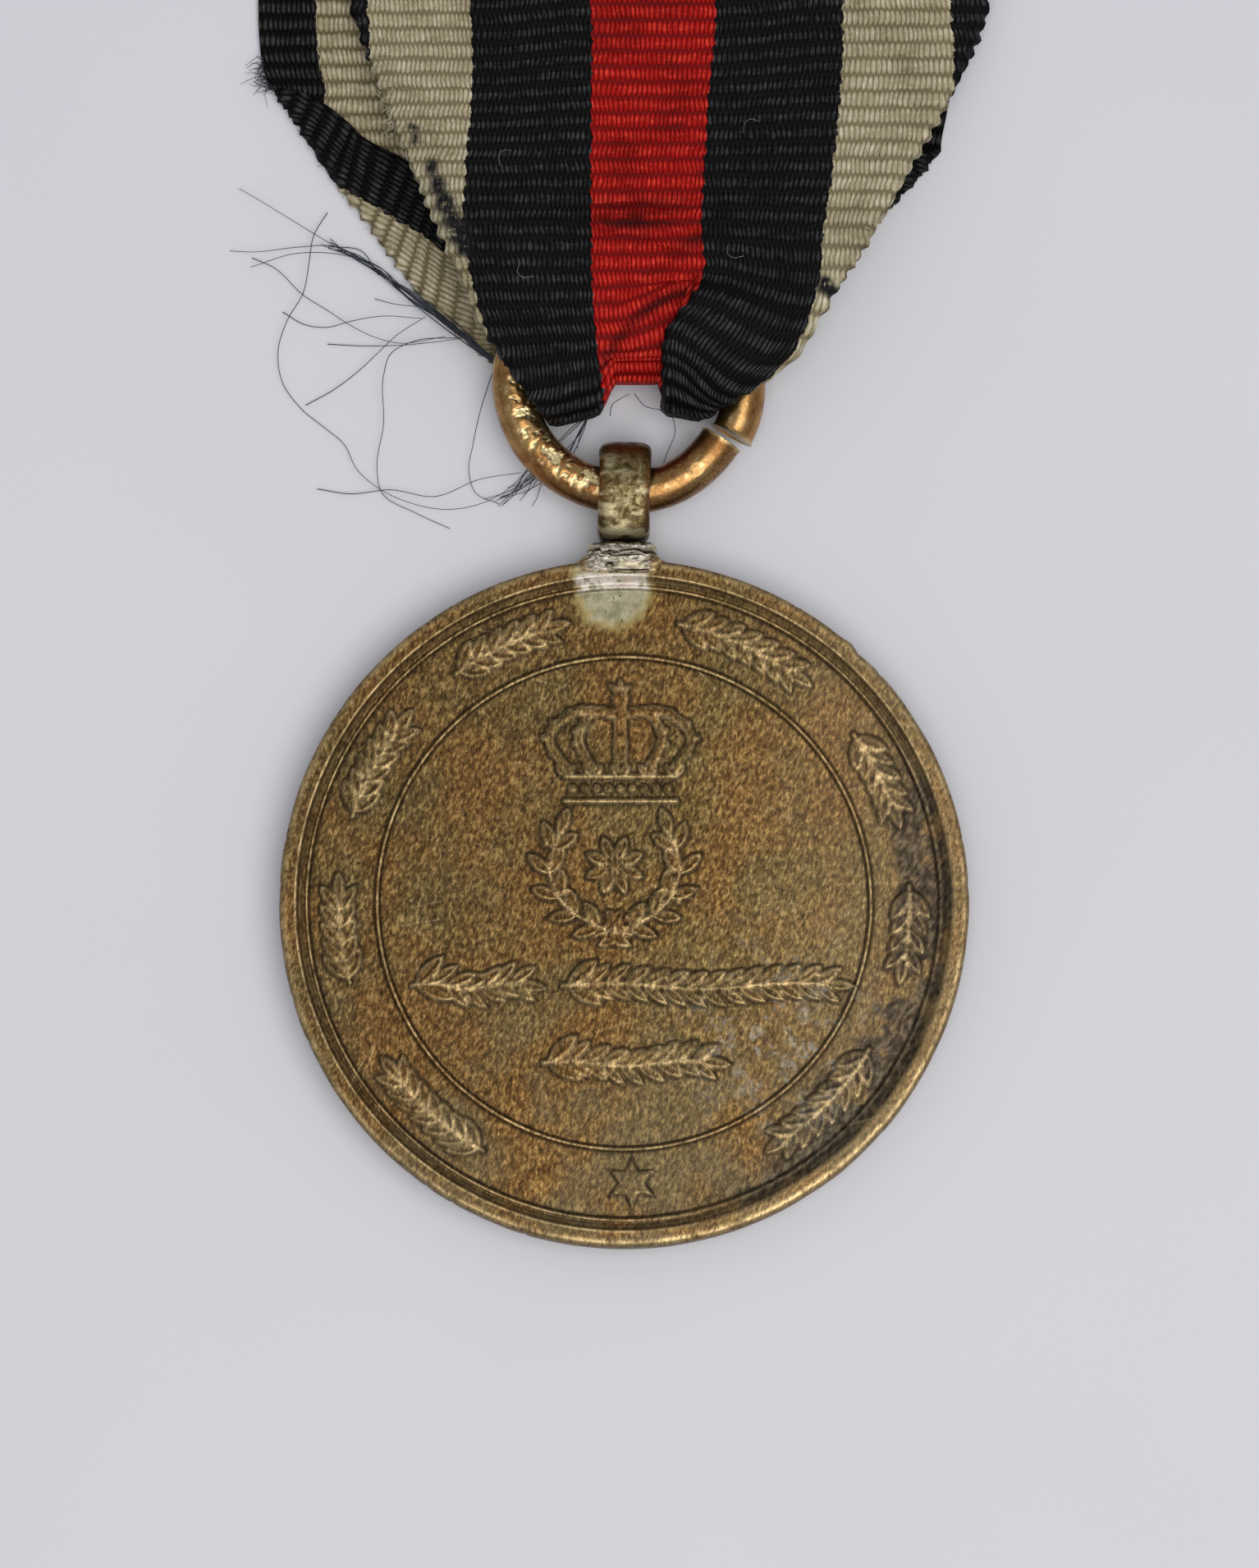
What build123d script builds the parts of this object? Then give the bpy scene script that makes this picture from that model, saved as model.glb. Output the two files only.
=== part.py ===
from build123d import *
import math
import os

# A struck bronze campaign medal on a folded ribbon, lying on its back.
# The origin is the centre of the disc's back. +Z comes out of the obverse and +Y runs up the
# ribbon. All sizes are in millimetres.

# ------------------------------------------------------------------ the struck disc
DISC_RADIUS = 14.5
DISC_THICKNESS = 2.3
EDGE_BEVEL = 0.28
RIM_INNER_RADIUS = 13.35
FIELD_HEIGHT = 1.92            # obverse field above the back
MOULDING_RADIUS = 13.05        # fine line just inside the rim
MOULDING_WIDTH = 0.22
MOULDING_HEIGHT = 0.10
CIRCLE_RADIUS = 10.36          # raised line between the field and the border band
CIRCLE_WIDTH = 0.35
CIRCLE_HEIGHT = 0.14
REVERSE_RECESS = 0.30          # reverse field behind its rim
REVERSE_BOSS_RADIUS = 3.0      # plain centre of the reverse, level with the rim
RELIEF_HEIGHT = 0.16
RELIEF_ROOT = 0.10             # how far the relief reaches into the field

# ------------------------------------------------------------------ relief on the obverse
BAND_RADIUS = 12.0
BAND_SPRIGS = [                # first and last angle of each leaf sprig, in degrees
    (240.5, 213.0), (196.5, 175.7), (162.4, 138.7), (126.5, 102.0),
    (78.9, 49.3), (36.3, 16.9), (3.3, -14.6), (-31.0, -60.5),
]
LEAF_LENGTH = 1.15
LEAF_WIDTH = 0.46
LEAF_PITCH = 0.86
LEAF_TILT = 34.0
STEM_WIDTH = 0.16
STAR_CENTRE = (0.33, -11.8)
STAR_OUTER = 0.95
STAR_INNER = 0.50
STAR_POINTS = 6
LINE_SPRIGS = [                # centre x, centre y and length of each straight sprig
    (-6.35, -3.5, 5.5), (3.25, -3.5, 12.1), (0.25, -6.8, 7.7),
]
CROWN_CENTRE_X = -0.15
CROWN_BASE_Y = 4.22
CROWN_BAND_WIDTH = 4.9
CROWN_BAND_HEIGHT = 1.1
CROWN_SPREAD = 3.0             # half-width of the arches
CROWN_ARCH_TOP_Y = 8.2
CROWN_BALL_Y = 8.75
CROWN_BALL_RADIUS = 0.42
BRANCH_BASE = (-0.4, -1.3)     # where the two crossed branches are tied
BRANCH_LENGTH = 5.0
BRANCH_LEAN = 34.0             # each branch leans this far from +Y
BRANCH_LEAVES = 6

# ------------------------------------------------------------------ eye, solder and ring
SWING_Y = 17.42                # the medal swings on the ring here
RING_Z = 1.65                  # height of the ring's and the eye's centre
EYE_X = 0.09
EYE_WIDTH = 2.14
EYE_HALF_HEIGHT = 2.15
EYE_HALF_DEPTH = 1.65
EYE_HOLE_RADIUS = 1.15
EYE_EDGE_FILLET = 0.20
COLLAR_BASE_HALF = 2.3         # solder flare on the disc's edge
COLLAR_TOP_HALF = 1.35
COLLAR_LOW_Y = 13.9
COLLAR_TOP_Y = 15.75
COLLAR_FRONT_Z = 2.75
COLLAR_BACK_Z = 0.15
RING_X = 0.16
RING_Y = 22.27
RING_MAJOR = 4.85
WIRE_RADIUS = 0.925
RING_GAP = 0.40
RING_GAP_ANGLE = -31.0

# ------------------------------------------------------------------ ribbon
RIBBON_WIDTH = 29.9
CLOTH = 0.40                   # thickness of one layer
RING_CLEARANCE = 0.30
BIGHT_LOW_Y = 20.35            # lowest point of the fold through the ring
BIGHT_TOP_Y = 24.0             # the fold's solids meet the two layers here
PLEAT_TOP_Z = 3.9              # gathered front layer over the ring
FRONT_UNDER_Z = 2.9            # underside of the front layer over the ring
CREST_Y = 29.0                 # the front layer slopes down from here
REST_Y = 37.5                  # and lies on the back layer from here
LAYER_GAP = 0.04
FLEX_Y = 41.0                  # line on which the ribbon bends
FLEX_GAP = 0.30                # clear of that line, on each side
RIBBON_TOP_Y = 72.0
RIBBON_TOP_X = 0.25            # both layers are centred here at the top

STITCH_Y = 69.3
STITCH_COUNT = 9
STITCH_LENGTH = 1.9
STITCH_RADIUS = 0.14


def lens(length, width):
    """A pointed leaf on the X axis, from its stalk at the origin."""
    half = length / 2
    bow = width / 2
    upper = ThreePointArc((0, 0), (half, bow), (length, 0))
    lower = ThreePointArc((length, 0), (half, -bow), (0, 0))
    return make_face(upper + lower)


def leaf_pair(x, y, heading):
    """Two leaves that spread from one place on a stem."""
    place = Pos(x, y) * Rot(0, 0, heading)
    leaf = lens(LEAF_LENGTH, LEAF_WIDTH)
    return [place * Rot(0, 0, side * LEAF_TILT) * leaf for side in (1, -1)]


def polar(radius, degrees):
    angle = math.radians(degrees)
    return radius * math.cos(angle), radius * math.sin(angle)


def band_sprig(start, end):
    """A leaf sprig bent round the border band, pointing the way the angles fall."""
    middle = (start + end) / 2
    stem_ends = [polar(BAND_RADIUS, angle) for angle in (start, middle, end)]
    stem = trace(ThreePointArc(*stem_ends), STEM_WIDTH)
    span = math.radians(start - end) * BAND_RADIUS
    pairs = max(2, round((span - LEAF_LENGTH) / LEAF_PITCH))
    shapes = [stem]
    for index in range(pairs):
        angle = start - (start - end) * index / pairs
        x, y = polar(BAND_RADIUS, angle)
        shapes += leaf_pair(x, y, angle - 90)
    return shapes


def line_sprig(centre_x, centre_y, length):
    """A straight leaf sprig."""
    left = centre_x - length / 2
    stem = Pos(centre_x, centre_y) * Rectangle(length, STEM_WIDTH)
    pairs = round((length - LEAF_LENGTH) / LEAF_PITCH)
    shapes = [stem]
    for index in range(pairs):
        shapes += leaf_pair(left + index * length / pairs, centre_y, 0)
    return shapes


def crossed_branches():
    """Two branches tied at their feet, in the middle of the field."""
    base_x, base_y = BRANCH_BASE
    shapes = []
    for side in (1, -1):
        heading = 90 - side * BRANCH_LEAN
        along = Pos(base_x, base_y) * Rot(0, 0, heading)
        shapes.append(along * Pos(BRANCH_LENGTH / 2, 0) * Rectangle(BRANCH_LENGTH, STEM_WIDTH))
        for index in range(BRANCH_LEAVES):
            step = (index + 1) * (BRANCH_LENGTH - LEAF_LENGTH) / BRANCH_LEAVES
            for tilt in (LEAF_TILT, -LEAF_TILT):
                shapes.append(along * Pos(step, 0) * Rot(0, 0, tilt) * lens(LEAF_LENGTH, LEAF_WIDTH))
    return shapes


def star():
    centre_x, centre_y = STAR_CENTRE
    points = []
    for index in range(2 * STAR_POINTS):
        radius = STAR_OUTER if index % 2 == 0 else STAR_INNER
        x, y = polar(radius, 90 + index * 180 / STAR_POINTS)
        points.append((centre_x + x, centre_y + y))
    return make_face(Polyline(*points, close=True))


def crown():
    """A plain closed crown: a band, five bars that arch to the middle, and a ball."""
    band_y = CROWN_BASE_Y + CROWN_BAND_HEIGHT / 2
    shapes = [Pos(CROWN_CENTRE_X, band_y) * Rectangle(CROWN_BAND_WIDTH, CROWN_BAND_HEIGHT)]
    foot_y = CROWN_BASE_Y + CROWN_BAND_HEIGHT - 0.05
    for reach in (-1.0, -0.5, 0.5, 1.0):
        foot_x = CROWN_CENTRE_X + reach * CROWN_BAND_WIDTH * 0.45
        bulge_x = CROWN_CENTRE_X + reach * CROWN_SPREAD
        bulge_y = (foot_y + CROWN_ARCH_TOP_Y) / 2 + 0.3
        arch = ThreePointArc((foot_x, foot_y), (bulge_x, bulge_y), (CROWN_CENTRE_X, CROWN_ARCH_TOP_Y))
        shapes.append(trace(arch, 0.3))
    bar_height = CROWN_ARCH_TOP_Y - foot_y
    shapes.append(Pos(CROWN_CENTRE_X, foot_y + bar_height / 2) * Rectangle(0.5, bar_height))
    shapes.append(Pos(CROWN_CENTRE_X, CROWN_BALL_Y) * Circle(CROWN_BALL_RADIUS))
    return shapes


def disc_blank():
    """The coin-like blank with its rims, the two raised circles and the reverse boss."""
    inner_line = MOULDING_RADIUS - MOULDING_WIDTH / 2
    outer_line = MOULDING_RADIUS + MOULDING_WIDTH / 2
    inner_circle = CIRCLE_RADIUS - CIRCLE_WIDTH / 2
    outer_circle = CIRCLE_RADIUS + CIRCLE_WIDTH / 2
    outline = [
        (0, 0),
        (REVERSE_BOSS_RADIUS, 0),
        (REVERSE_BOSS_RADIUS + REVERSE_RECESS, REVERSE_RECESS),
        (RIM_INNER_RADIUS - REVERSE_RECESS, REVERSE_RECESS),
        (RIM_INNER_RADIUS, 0),
        (DISC_RADIUS - EDGE_BEVEL, 0),
        (DISC_RADIUS, EDGE_BEVEL),
        (DISC_RADIUS, DISC_THICKNESS - EDGE_BEVEL),
        (DISC_RADIUS - EDGE_BEVEL, DISC_THICKNESS),
        (RIM_INNER_RADIUS + 0.15, DISC_THICKNESS - 0.08),
        (RIM_INNER_RADIUS, FIELD_HEIGHT),
        (outer_line, FIELD_HEIGHT),
        (outer_line - 0.04, FIELD_HEIGHT + MOULDING_HEIGHT),
        (inner_line + 0.04, FIELD_HEIGHT + MOULDING_HEIGHT),
        (inner_line, FIELD_HEIGHT),
        (outer_circle, FIELD_HEIGHT),
        (outer_circle - 0.08, FIELD_HEIGHT + CIRCLE_HEIGHT),
        (inner_circle + 0.08, FIELD_HEIGHT + CIRCLE_HEIGHT),
        (inner_circle, FIELD_HEIGHT),
        (0, FIELD_HEIGHT),
    ]
    section = Plane.XZ * make_face(Polyline(*outline, close=True))
    return revolve(section, Axis.Z)


def medal_disc():
    shapes = [star()] + crown() + crossed_branches()
    for start, end in BAND_SPRIGS:
        shapes += band_sprig(start, end)
    for centre_x, centre_y, length in LINE_SPRIGS:
        shapes += line_sprig(centre_x, centre_y, length)
    relief = Sketch() + shapes
    raised = extrude(Pos(0, 0, FIELD_HEIGHT - RELIEF_ROOT) * relief, RELIEF_ROOT + RELIEF_HEIGHT)
    return disc_blank() + raised


def suspension_eye():
    """A flattened loop that is open along X, wide enough to turn on the ring's curved wire."""
    loop = Ellipse(EYE_HALF_HEIGHT, EYE_HALF_DEPTH)
    band = extrude(Plane.YZ * loop, EYE_WIDTH / 2, both=True)
    band = fillet(band.edges(), EYE_EDGE_FILLET)
    hole = extrude(Plane.YZ * Circle(EYE_HOLE_RADIUS), EYE_WIDTH, both=True)
    return Pos(EYE_X, SWING_Y, RING_Z) * (band - hole)


def solder_collar(disc, eye):
    """Solder that fills the notch between the eye's foot and the disc's edge."""
    height = COLLAR_TOP_Y - COLLAR_LOW_Y
    depth = COLLAR_FRONT_Z - COLLAR_BACK_Z
    middle_z = (COLLAR_FRONT_Z + COLLAR_BACK_Z) / 2
    foot = Plane((EYE_X, COLLAR_LOW_Y, middle_z), x_dir=(1, 0, 0), z_dir=(0, 1, 0))
    head = foot.offset(height)
    lump = loft([
        foot * RectangleRounded(2 * COLLAR_BASE_HALF, depth - 0.5, 0.5),
        head * RectangleRounded(2 * COLLAR_TOP_HALF, depth, 0.7),
    ])
    keep_off_disc = Pos(0, 0, DISC_THICKNESS / 2) * Cylinder(DISC_RADIUS, 2 * DISC_THICKNESS)
    keep_off_hole = Pos(EYE_X, SWING_Y, RING_Z) * Rot(0, 90, 0) * Cylinder(
        EYE_HOLE_RADIUS + 0.3, 4 * EYE_WIDTH)
    solids = (lump - keep_off_disc - eye - keep_off_hole).solids()
    return solids.sort_by(SortBy.VOLUME)[-1]


def suspension_ring():
    """Round wire bent into a ring, its two ends a little apart."""
    gap_degrees = math.degrees(RING_GAP / RING_MAJOR)
    section = Plane.XZ * Pos(RING_MAJOR, 0) * Circle(WIRE_RADIUS)
    wire = revolve(section, Axis.Z, revolution_arc=360 - gap_degrees)
    turn = RING_GAP_ANGLE + gap_degrees / 2
    return Pos(RING_X, RING_Y, RING_Z) * Rot(0, 0, turn) * wire


def across(profile_points, outline_points):
    """Cloth with the given side profile (Y, Z), cut to the given outline (X, Y)."""
    profile = make_face(Polyline(*profile_points, close=True))
    slab = extrude(Plane.YZ * profile, RIBBON_WIDTH, both=True)
    outline = make_face(Polyline(*outline_points, close=True))
    prism = extrude(Pos(0, 0, -1) * outline, PLEAT_TOP_Z + 2)
    return slab & prism


def ribbon_bight():
    """The gathered fold that goes up through the ring."""
    centre_y = BIGHT_LOW_Y + PLEAT_TOP_Z / 2
    outer = Pos(centre_y, PLEAT_TOP_Z / 2) * Circle(PLEAT_TOP_Z / 2)
    outer += Polygon(
        (centre_y, 0), (BIGHT_TOP_Y, 0), (BIGHT_TOP_Y, PLEAT_TOP_Z), (centre_y, PLEAT_TOP_Z), align=None)
    inner_radius = (FRONT_UNDER_Z - CLOTH) / 2
    inner_z = (FRONT_UNDER_Z + CLOTH) / 2
    inner = Pos(centre_y, inner_z) * Circle(inner_radius)
    inner += Polygon(
        (centre_y, CLOTH), (BIGHT_TOP_Y, CLOTH), (BIGHT_TOP_Y, FRONT_UNDER_Z),
        (centre_y, FRONT_UNDER_Z), align=None)
    fold = extrude(Plane.YZ * (outer - inner), RIBBON_WIDTH / 2, both=True)
    outline = make_face(Polyline(
        (-3.3, 20.2), (-5.9, BIGHT_TOP_Y), (7.9, BIGHT_TOP_Y), (5.6, 20.9), (4.3, 20.2), close=True))
    prism = extrude(Pos(0, 0, -1) * outline, PLEAT_TOP_Z + 2)
    clear_of_ring = Pos(RING_X, RING_Y, RING_Z) * Torus(RING_MAJOR, WIRE_RADIUS + RING_CLEARANCE)
    return ((fold & prism) - clear_of_ring).solids().sort_by(SortBy.VOLUME)[-1]


def ribbon_front_lower():
    """The front layer, from the ring down to where it lies on the back layer."""
    low_z = CLOTH + LAYER_GAP
    end_y = FLEX_Y - FLEX_GAP
    profile = [
        (BIGHT_TOP_Y, FRONT_UNDER_Z), (CREST_Y, FRONT_UNDER_Z), (REST_Y, low_z), (end_y, low_z),
        (end_y, low_z + CLOTH), (REST_Y, low_z + CLOTH), (CREST_Y, PLEAT_TOP_Z - 0.35),
        (BIGHT_TOP_Y, PLEAT_TOP_Z),
    ]
    outline = [
        (-5.9, BIGHT_TOP_Y), (-9.0, 31.4), (-11.4, 38.0), (-12.3, end_y),
        (15.9, end_y), (15.4, 38.0), (13.8, 34.2), (7.9, BIGHT_TOP_Y),
    ]
    return across(profile, outline)


def ribbon_back_lower():
    """The back layer, flat on the table under the ring."""
    end_y = FLEX_Y - FLEX_GAP
    profile = [(BIGHT_TOP_Y, 0), (end_y, 0), (end_y, CLOTH), (BIGHT_TOP_Y, CLOTH)]
    outline = [
        (-6.1, BIGHT_TOP_Y), (-13.5, 32.8), (-15.5, 35.9), (-15.6, end_y),
        (14.3, end_y), (13.0, 36.0), (7.4, BIGHT_TOP_Y),
    ]
    return across(profile, outline)


def upper_layer(low_z, left_x, right_x, stitches):
    """One layer above the bending line, straightening out to its top, pierced by the stitches."""
    start_y = FLEX_Y + FLEX_GAP
    half = RIBBON_WIDTH / 2
    outline = make_face(Polyline(
        (left_x, start_y), (RIBBON_TOP_X - half, 50), (RIBBON_TOP_X - half, RIBBON_TOP_Y),
        (RIBBON_TOP_X + half, RIBBON_TOP_Y), (RIBBON_TOP_X + half, 50), (right_x, start_y),
        close=True))
    layer = extrude(Pos(0, 0, low_z) * outline, CLOTH)
    for stitch in stitches.solids():
        layer -= stitch
    return layer


def ribbon_stitches():
    """A row of stitches that holds the two layers together near the top."""
    top_z = 2 * CLOTH + LAYER_GAP
    pitch = RIBBON_WIDTH / STITCH_COUNT
    stitches = []
    for index in range(STITCH_COUNT):
        x = RIBBON_TOP_X + (index - (STITCH_COUNT - 1) / 2) * pitch
        bar = Pos(x, STITCH_Y, top_z) * Rot(0, 90, 0) * Cylinder(STITCH_RADIUS, STITCH_LENGTH)
        ends = [
            Pos(x + side * STITCH_LENGTH / 2, STITCH_Y, top_z / 2) * Cylinder(STITCH_RADIUS, top_z)
            for side in (1, -1)
        ]
        knuckles = [
            Pos(x + side * STITCH_LENGTH / 2, STITCH_Y, top_z) * Sphere(STITCH_RADIUS)
            for side in (1, -1)
        ]
        stitches.append(bar + ends + knuckles)
    return Compound(children=stitches)


def main():
    os.makedirs("parts", exist_ok=True)
    disc = medal_disc()
    eye = suspension_eye()
    stitches = ribbon_stitches()
    front_z = CLOTH + LAYER_GAP
    nodes = {
        "medal_disc": disc,
        "suspension_eye": eye,
        "solder_collar": solder_collar(disc, eye),
        "suspension_ring": suspension_ring(),
        "ribbon_bight": ribbon_bight(),
        "ribbon_front_lower": ribbon_front_lower(),
        "ribbon_back_lower": ribbon_back_lower(),
        "ribbon_front_upper": upper_layer(front_z, -12.4, 16.0, stitches),
        "ribbon_back_upper": upper_layer(0, -15.6, 14.3, stitches),
        "ribbon_stitches": stitches,
    }
    for name, shape in nodes.items():
        export_step(shape, f"parts/{name}.step")


main()
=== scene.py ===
"""The looks of a worn bronze campaign medal on its ribbon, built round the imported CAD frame."""
import math

import bpy
import numpy as np
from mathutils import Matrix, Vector


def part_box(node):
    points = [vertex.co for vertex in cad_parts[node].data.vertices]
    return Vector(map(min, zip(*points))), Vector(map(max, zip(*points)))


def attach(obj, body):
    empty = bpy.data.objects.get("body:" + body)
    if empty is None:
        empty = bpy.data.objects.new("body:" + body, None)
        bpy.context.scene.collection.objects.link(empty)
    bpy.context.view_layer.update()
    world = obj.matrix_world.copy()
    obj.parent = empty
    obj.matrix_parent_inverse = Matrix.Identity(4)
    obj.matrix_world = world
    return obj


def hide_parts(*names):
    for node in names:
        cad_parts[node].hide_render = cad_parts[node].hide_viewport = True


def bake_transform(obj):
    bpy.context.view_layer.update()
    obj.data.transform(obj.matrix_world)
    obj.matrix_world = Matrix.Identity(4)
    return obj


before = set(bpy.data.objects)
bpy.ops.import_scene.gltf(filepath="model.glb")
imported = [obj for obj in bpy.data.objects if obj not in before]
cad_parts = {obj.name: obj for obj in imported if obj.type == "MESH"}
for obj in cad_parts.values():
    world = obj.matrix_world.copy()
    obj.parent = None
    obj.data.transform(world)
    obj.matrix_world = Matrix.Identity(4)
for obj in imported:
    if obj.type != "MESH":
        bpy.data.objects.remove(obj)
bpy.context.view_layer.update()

MM = 0.001                     # shapes are worked out in millimetres and stored in metres
TAU = 2 * math.pi


def box_mm(node):
    """Lowest and highest corner of a CAD node, in millimetres."""
    low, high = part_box(node)
    return np.array(low) / MM, np.array(high) / MM


disc_low, disc_high = box_mm("medal_disc")
DISC_R = (disc_high[0] - disc_low[0]) / 2
DISC_TOP = disc_high[2]
ring_low, ring_high = box_mm("suspension_ring")
RING_CENTRE = (ring_low + ring_high) / 2
WIRE_R = (ring_high[2] - ring_low[2]) / 2
RING_R = (ring_high[0] - ring_low[0]) / 2 - WIRE_R
eye_low, eye_high = box_mm("suspension_eye")
EYE_CENTRE = (eye_low + eye_high) / 2
EYE_HALF = (eye_high - eye_low) / 2
RIBBON_TOP = box_mm("ribbon_front_upper")[1][1]


# ------------------------------------------------------------------ small mathematics
def smooth(low, high, value):
    """0 below low, 1 above high, and a smooth step between them."""
    t = np.clip((value - low) / (high - low), 0, 1)
    return t * t * (3 - 2 * t)


def bell(value, centre, width):
    """1 at the centre, and down to a third one width away."""
    return np.exp(-((value - centre) / width) ** 2)


def noise2(x, y, seed, size=64):
    """Smooth value noise from 0 to 1, with one lattice step per unit."""
    lattice = np.random.default_rng(seed).random((size, size))
    xi, yi = np.floor(x).astype(int), np.floor(y).astype(int)
    xf, yf = x - xi, y - yi
    xf, yf = xf * xf * (3 - 2 * xf), yf * yf * (3 - 2 * yf)

    def at(i, j):
        return lattice[(xi + i) % size, (yi + j) % size]

    low = at(0, 0) * (1 - xf) + at(1, 0) * xf
    high = at(0, 1) * (1 - xf) + at(1, 1) * xf
    return low * (1 - yf) + high * yf


def squared(wave, power):
    """A sine or cosine with flattened crests, for sections with rounded corners."""
    return np.sign(wave) * np.abs(wave) ** power


def fractal(x, y, seed, octaves=3):
    """Value noise summed over octaves, about 0 to 1."""
    total, weight, norm = 0, 1.0, 0.0
    for octave in range(octaves):
        total = total + weight * noise2(x * 2 ** octave, y * 2 ** octave, seed + octave)
        norm += weight
        weight *= 0.5
    return total / norm


def through(knots, values, at):
    """A smooth curve through the values at the knots, read at other places."""
    knots, values = np.asarray(knots, float), np.asarray(values, float)
    slopes = np.gradient(values, knots)
    index = np.clip(np.searchsorted(knots, at) - 1, 0, len(knots) - 2)
    step = knots[index + 1] - knots[index]
    t = np.clip((at - knots[index]) / step, 0, 1)
    start, end = values[index], values[index + 1]
    return ((2 * t ** 3 - 3 * t ** 2 + 1) * start + (t ** 3 - 2 * t ** 2 + t) * step * slopes[index]
            + (3 * t ** 2 - 2 * t ** 3) * end + (t ** 3 - t ** 2) * step * slopes[index + 1])


# ------------------------------------------------------------------ meshes
def make_mesh(name, points, faces, attributes=None, uv=None, flat=False):
    """A mesh object from points in millimetres and faces of three or four corners."""
    faces = [np.asarray(block, np.int32) for block in faces if len(block)]
    mesh = bpy.data.meshes.new(name)
    mesh.vertices.add(len(points))
    mesh.vertices.foreach_set("co", (np.asarray(points, float) * MM).astype(np.float32).ravel())
    corners = np.concatenate([block.ravel() for block in faces])
    sizes = np.concatenate([np.full(len(block), block.shape[1]) for block in faces])
    starts = np.concatenate([[0], np.cumsum(sizes)[:-1]])
    mesh.loops.add(len(corners))
    mesh.loops.foreach_set("vertex_index", corners.astype(np.int32))
    mesh.polygons.add(len(sizes))
    mesh.polygons.foreach_set("loop_start", starts.astype(np.int32))
    mesh.update(calc_edges=True)
    mesh.validate()
    mesh.polygons.foreach_set("use_smooth", np.full(len(mesh.polygons), not flat))
    for key, values in (attributes or {}).items():
        layer = mesh.attributes.new(key, "FLOAT", "POINT")
        layer.data.foreach_set("value", np.asarray(values, np.float32))
    if uv is not None:
        layer = mesh.uv_layers.new(name="cloth")
        layer.data.foreach_set("uv", np.asarray(uv, np.float32)[corners].ravel())
    obj = bpy.data.objects.new(name, mesh)
    bpy.context.scene.collection.objects.link(obj)
    return obj


def grid_faces(rows, columns, wrap_rows=False, wrap_columns=False, first=0):
    """Quads between the points of a grid stored row by row."""
    r = np.arange(rows if wrap_rows else rows - 1)
    c = np.arange(columns if wrap_columns else columns - 1)
    r, c = np.meshgrid(r, c, indexing="ij")
    r2, c2 = (r + 1) % rows, (c + 1) % columns
    quads = np.stack([r * columns + c, r * columns + c2, r2 * columns + c2, r2 * columns + c], -1)
    return first + quads.reshape(-1, 4)


# ------------------------------------------------------------------ relief, as distances in the plane
class Relief:
    """A union of flat shapes. It holds, for each point, how far inside or outside the union it is."""

    def __init__(self, x, y):
        self.x, self.y = x, y
        self.distance = np.full(x.shape, 9.0)
        self.vein = np.zeros(x.shape)

    def near(self, cx, cy, reach):
        return np.nonzero((np.abs(self.x - cx) < reach) & (np.abs(self.y - cy) < reach))[0]

    def put(self, where, distance):
        self.distance[where] = np.minimum(self.distance[where], distance)

    def leaf(self, x, y, heading, length, width):
        """A pointed leaf with a sunk midrib; its stalk is at x, y."""
        a, b = length / 2, width / 2
        cosine, sine = math.cos(heading), math.sin(heading)
        where = self.near(x + a * cosine, y + a * sine, length)
        px, py = self.x[where] - x, self.y[where] - y
        along = px * cosine + py * sine - a
        side = -px * sine + py * cosine
        radius = (a * a + b * b) / (2 * b)
        offset = radius - b
        up, out = np.abs(along), np.abs(side)
        to_tip = np.hypot(out, up - a)
        to_arc = np.hypot(out + offset, up) - radius
        distance = np.where((up - a) * offset > out * a, to_tip, to_arc)
        self.put(where, distance)
        inside = (distance < 0) & (up < 0.8 * a)
        self.vein[where] = np.maximum(self.vein[where], inside * bell(side, 0, 0.07))

    def line(self, x1, y1, x2, y2, radius):
        where = self.near((x1 + x2) / 2, (y1 + y2) / 2, math.hypot(x2 - x1, y2 - y1) / 2 + 1)
        px, py = self.x[where] - x1, self.y[where] - y1
        dx, dy = x2 - x1, y2 - y1
        t = np.clip((px * dx + py * dy) / max(dx * dx + dy * dy, 1e-9), 0, 1)
        self.put(where, np.hypot(px - t * dx, py - t * dy) - radius)

    def stroke(self, points, radius):
        for (x1, y1), (x2, y2) in zip(points[:-1], points[1:]):
            self.line(x1, y1, x2, y2, radius)

    def dot(self, x, y, radius):
        where = self.near(x, y, radius + 1)
        self.put(where, np.hypot(self.x[where] - x, self.y[where] - y) - radius)

    def star(self, x, y, outer, inner, points):
        where = self.near(x, y, outer + 1)
        px, py = self.x[where] - x, self.y[where] - y
        half = math.pi / points
        angle = np.abs((np.arctan2(px, py) + half) % (2 * half) - half)
        radius = np.hypot(px, py)
        qx, qy = radius * np.cos(angle), radius * np.sin(angle)
        ex, ey = inner * math.cos(half) - outer, inner * math.sin(half)
        length = math.hypot(ex, ey)
        self.put(where, ((qx - outer) * ey - qy * ex) / length)


def curve_points(points, count):
    """Points spread along a smooth curve through the given ones, with the headings there."""
    points = np.asarray(points, float)
    knots = np.concatenate([[0], np.cumsum(np.hypot(*np.diff(points, axis=0).T))])
    at = np.linspace(0, knots[-1], count)
    x, y = through(knots, points[:, 0], at), through(knots, points[:, 1], at)
    return x, y, np.arctan2(np.gradient(y), np.gradient(x))


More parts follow.
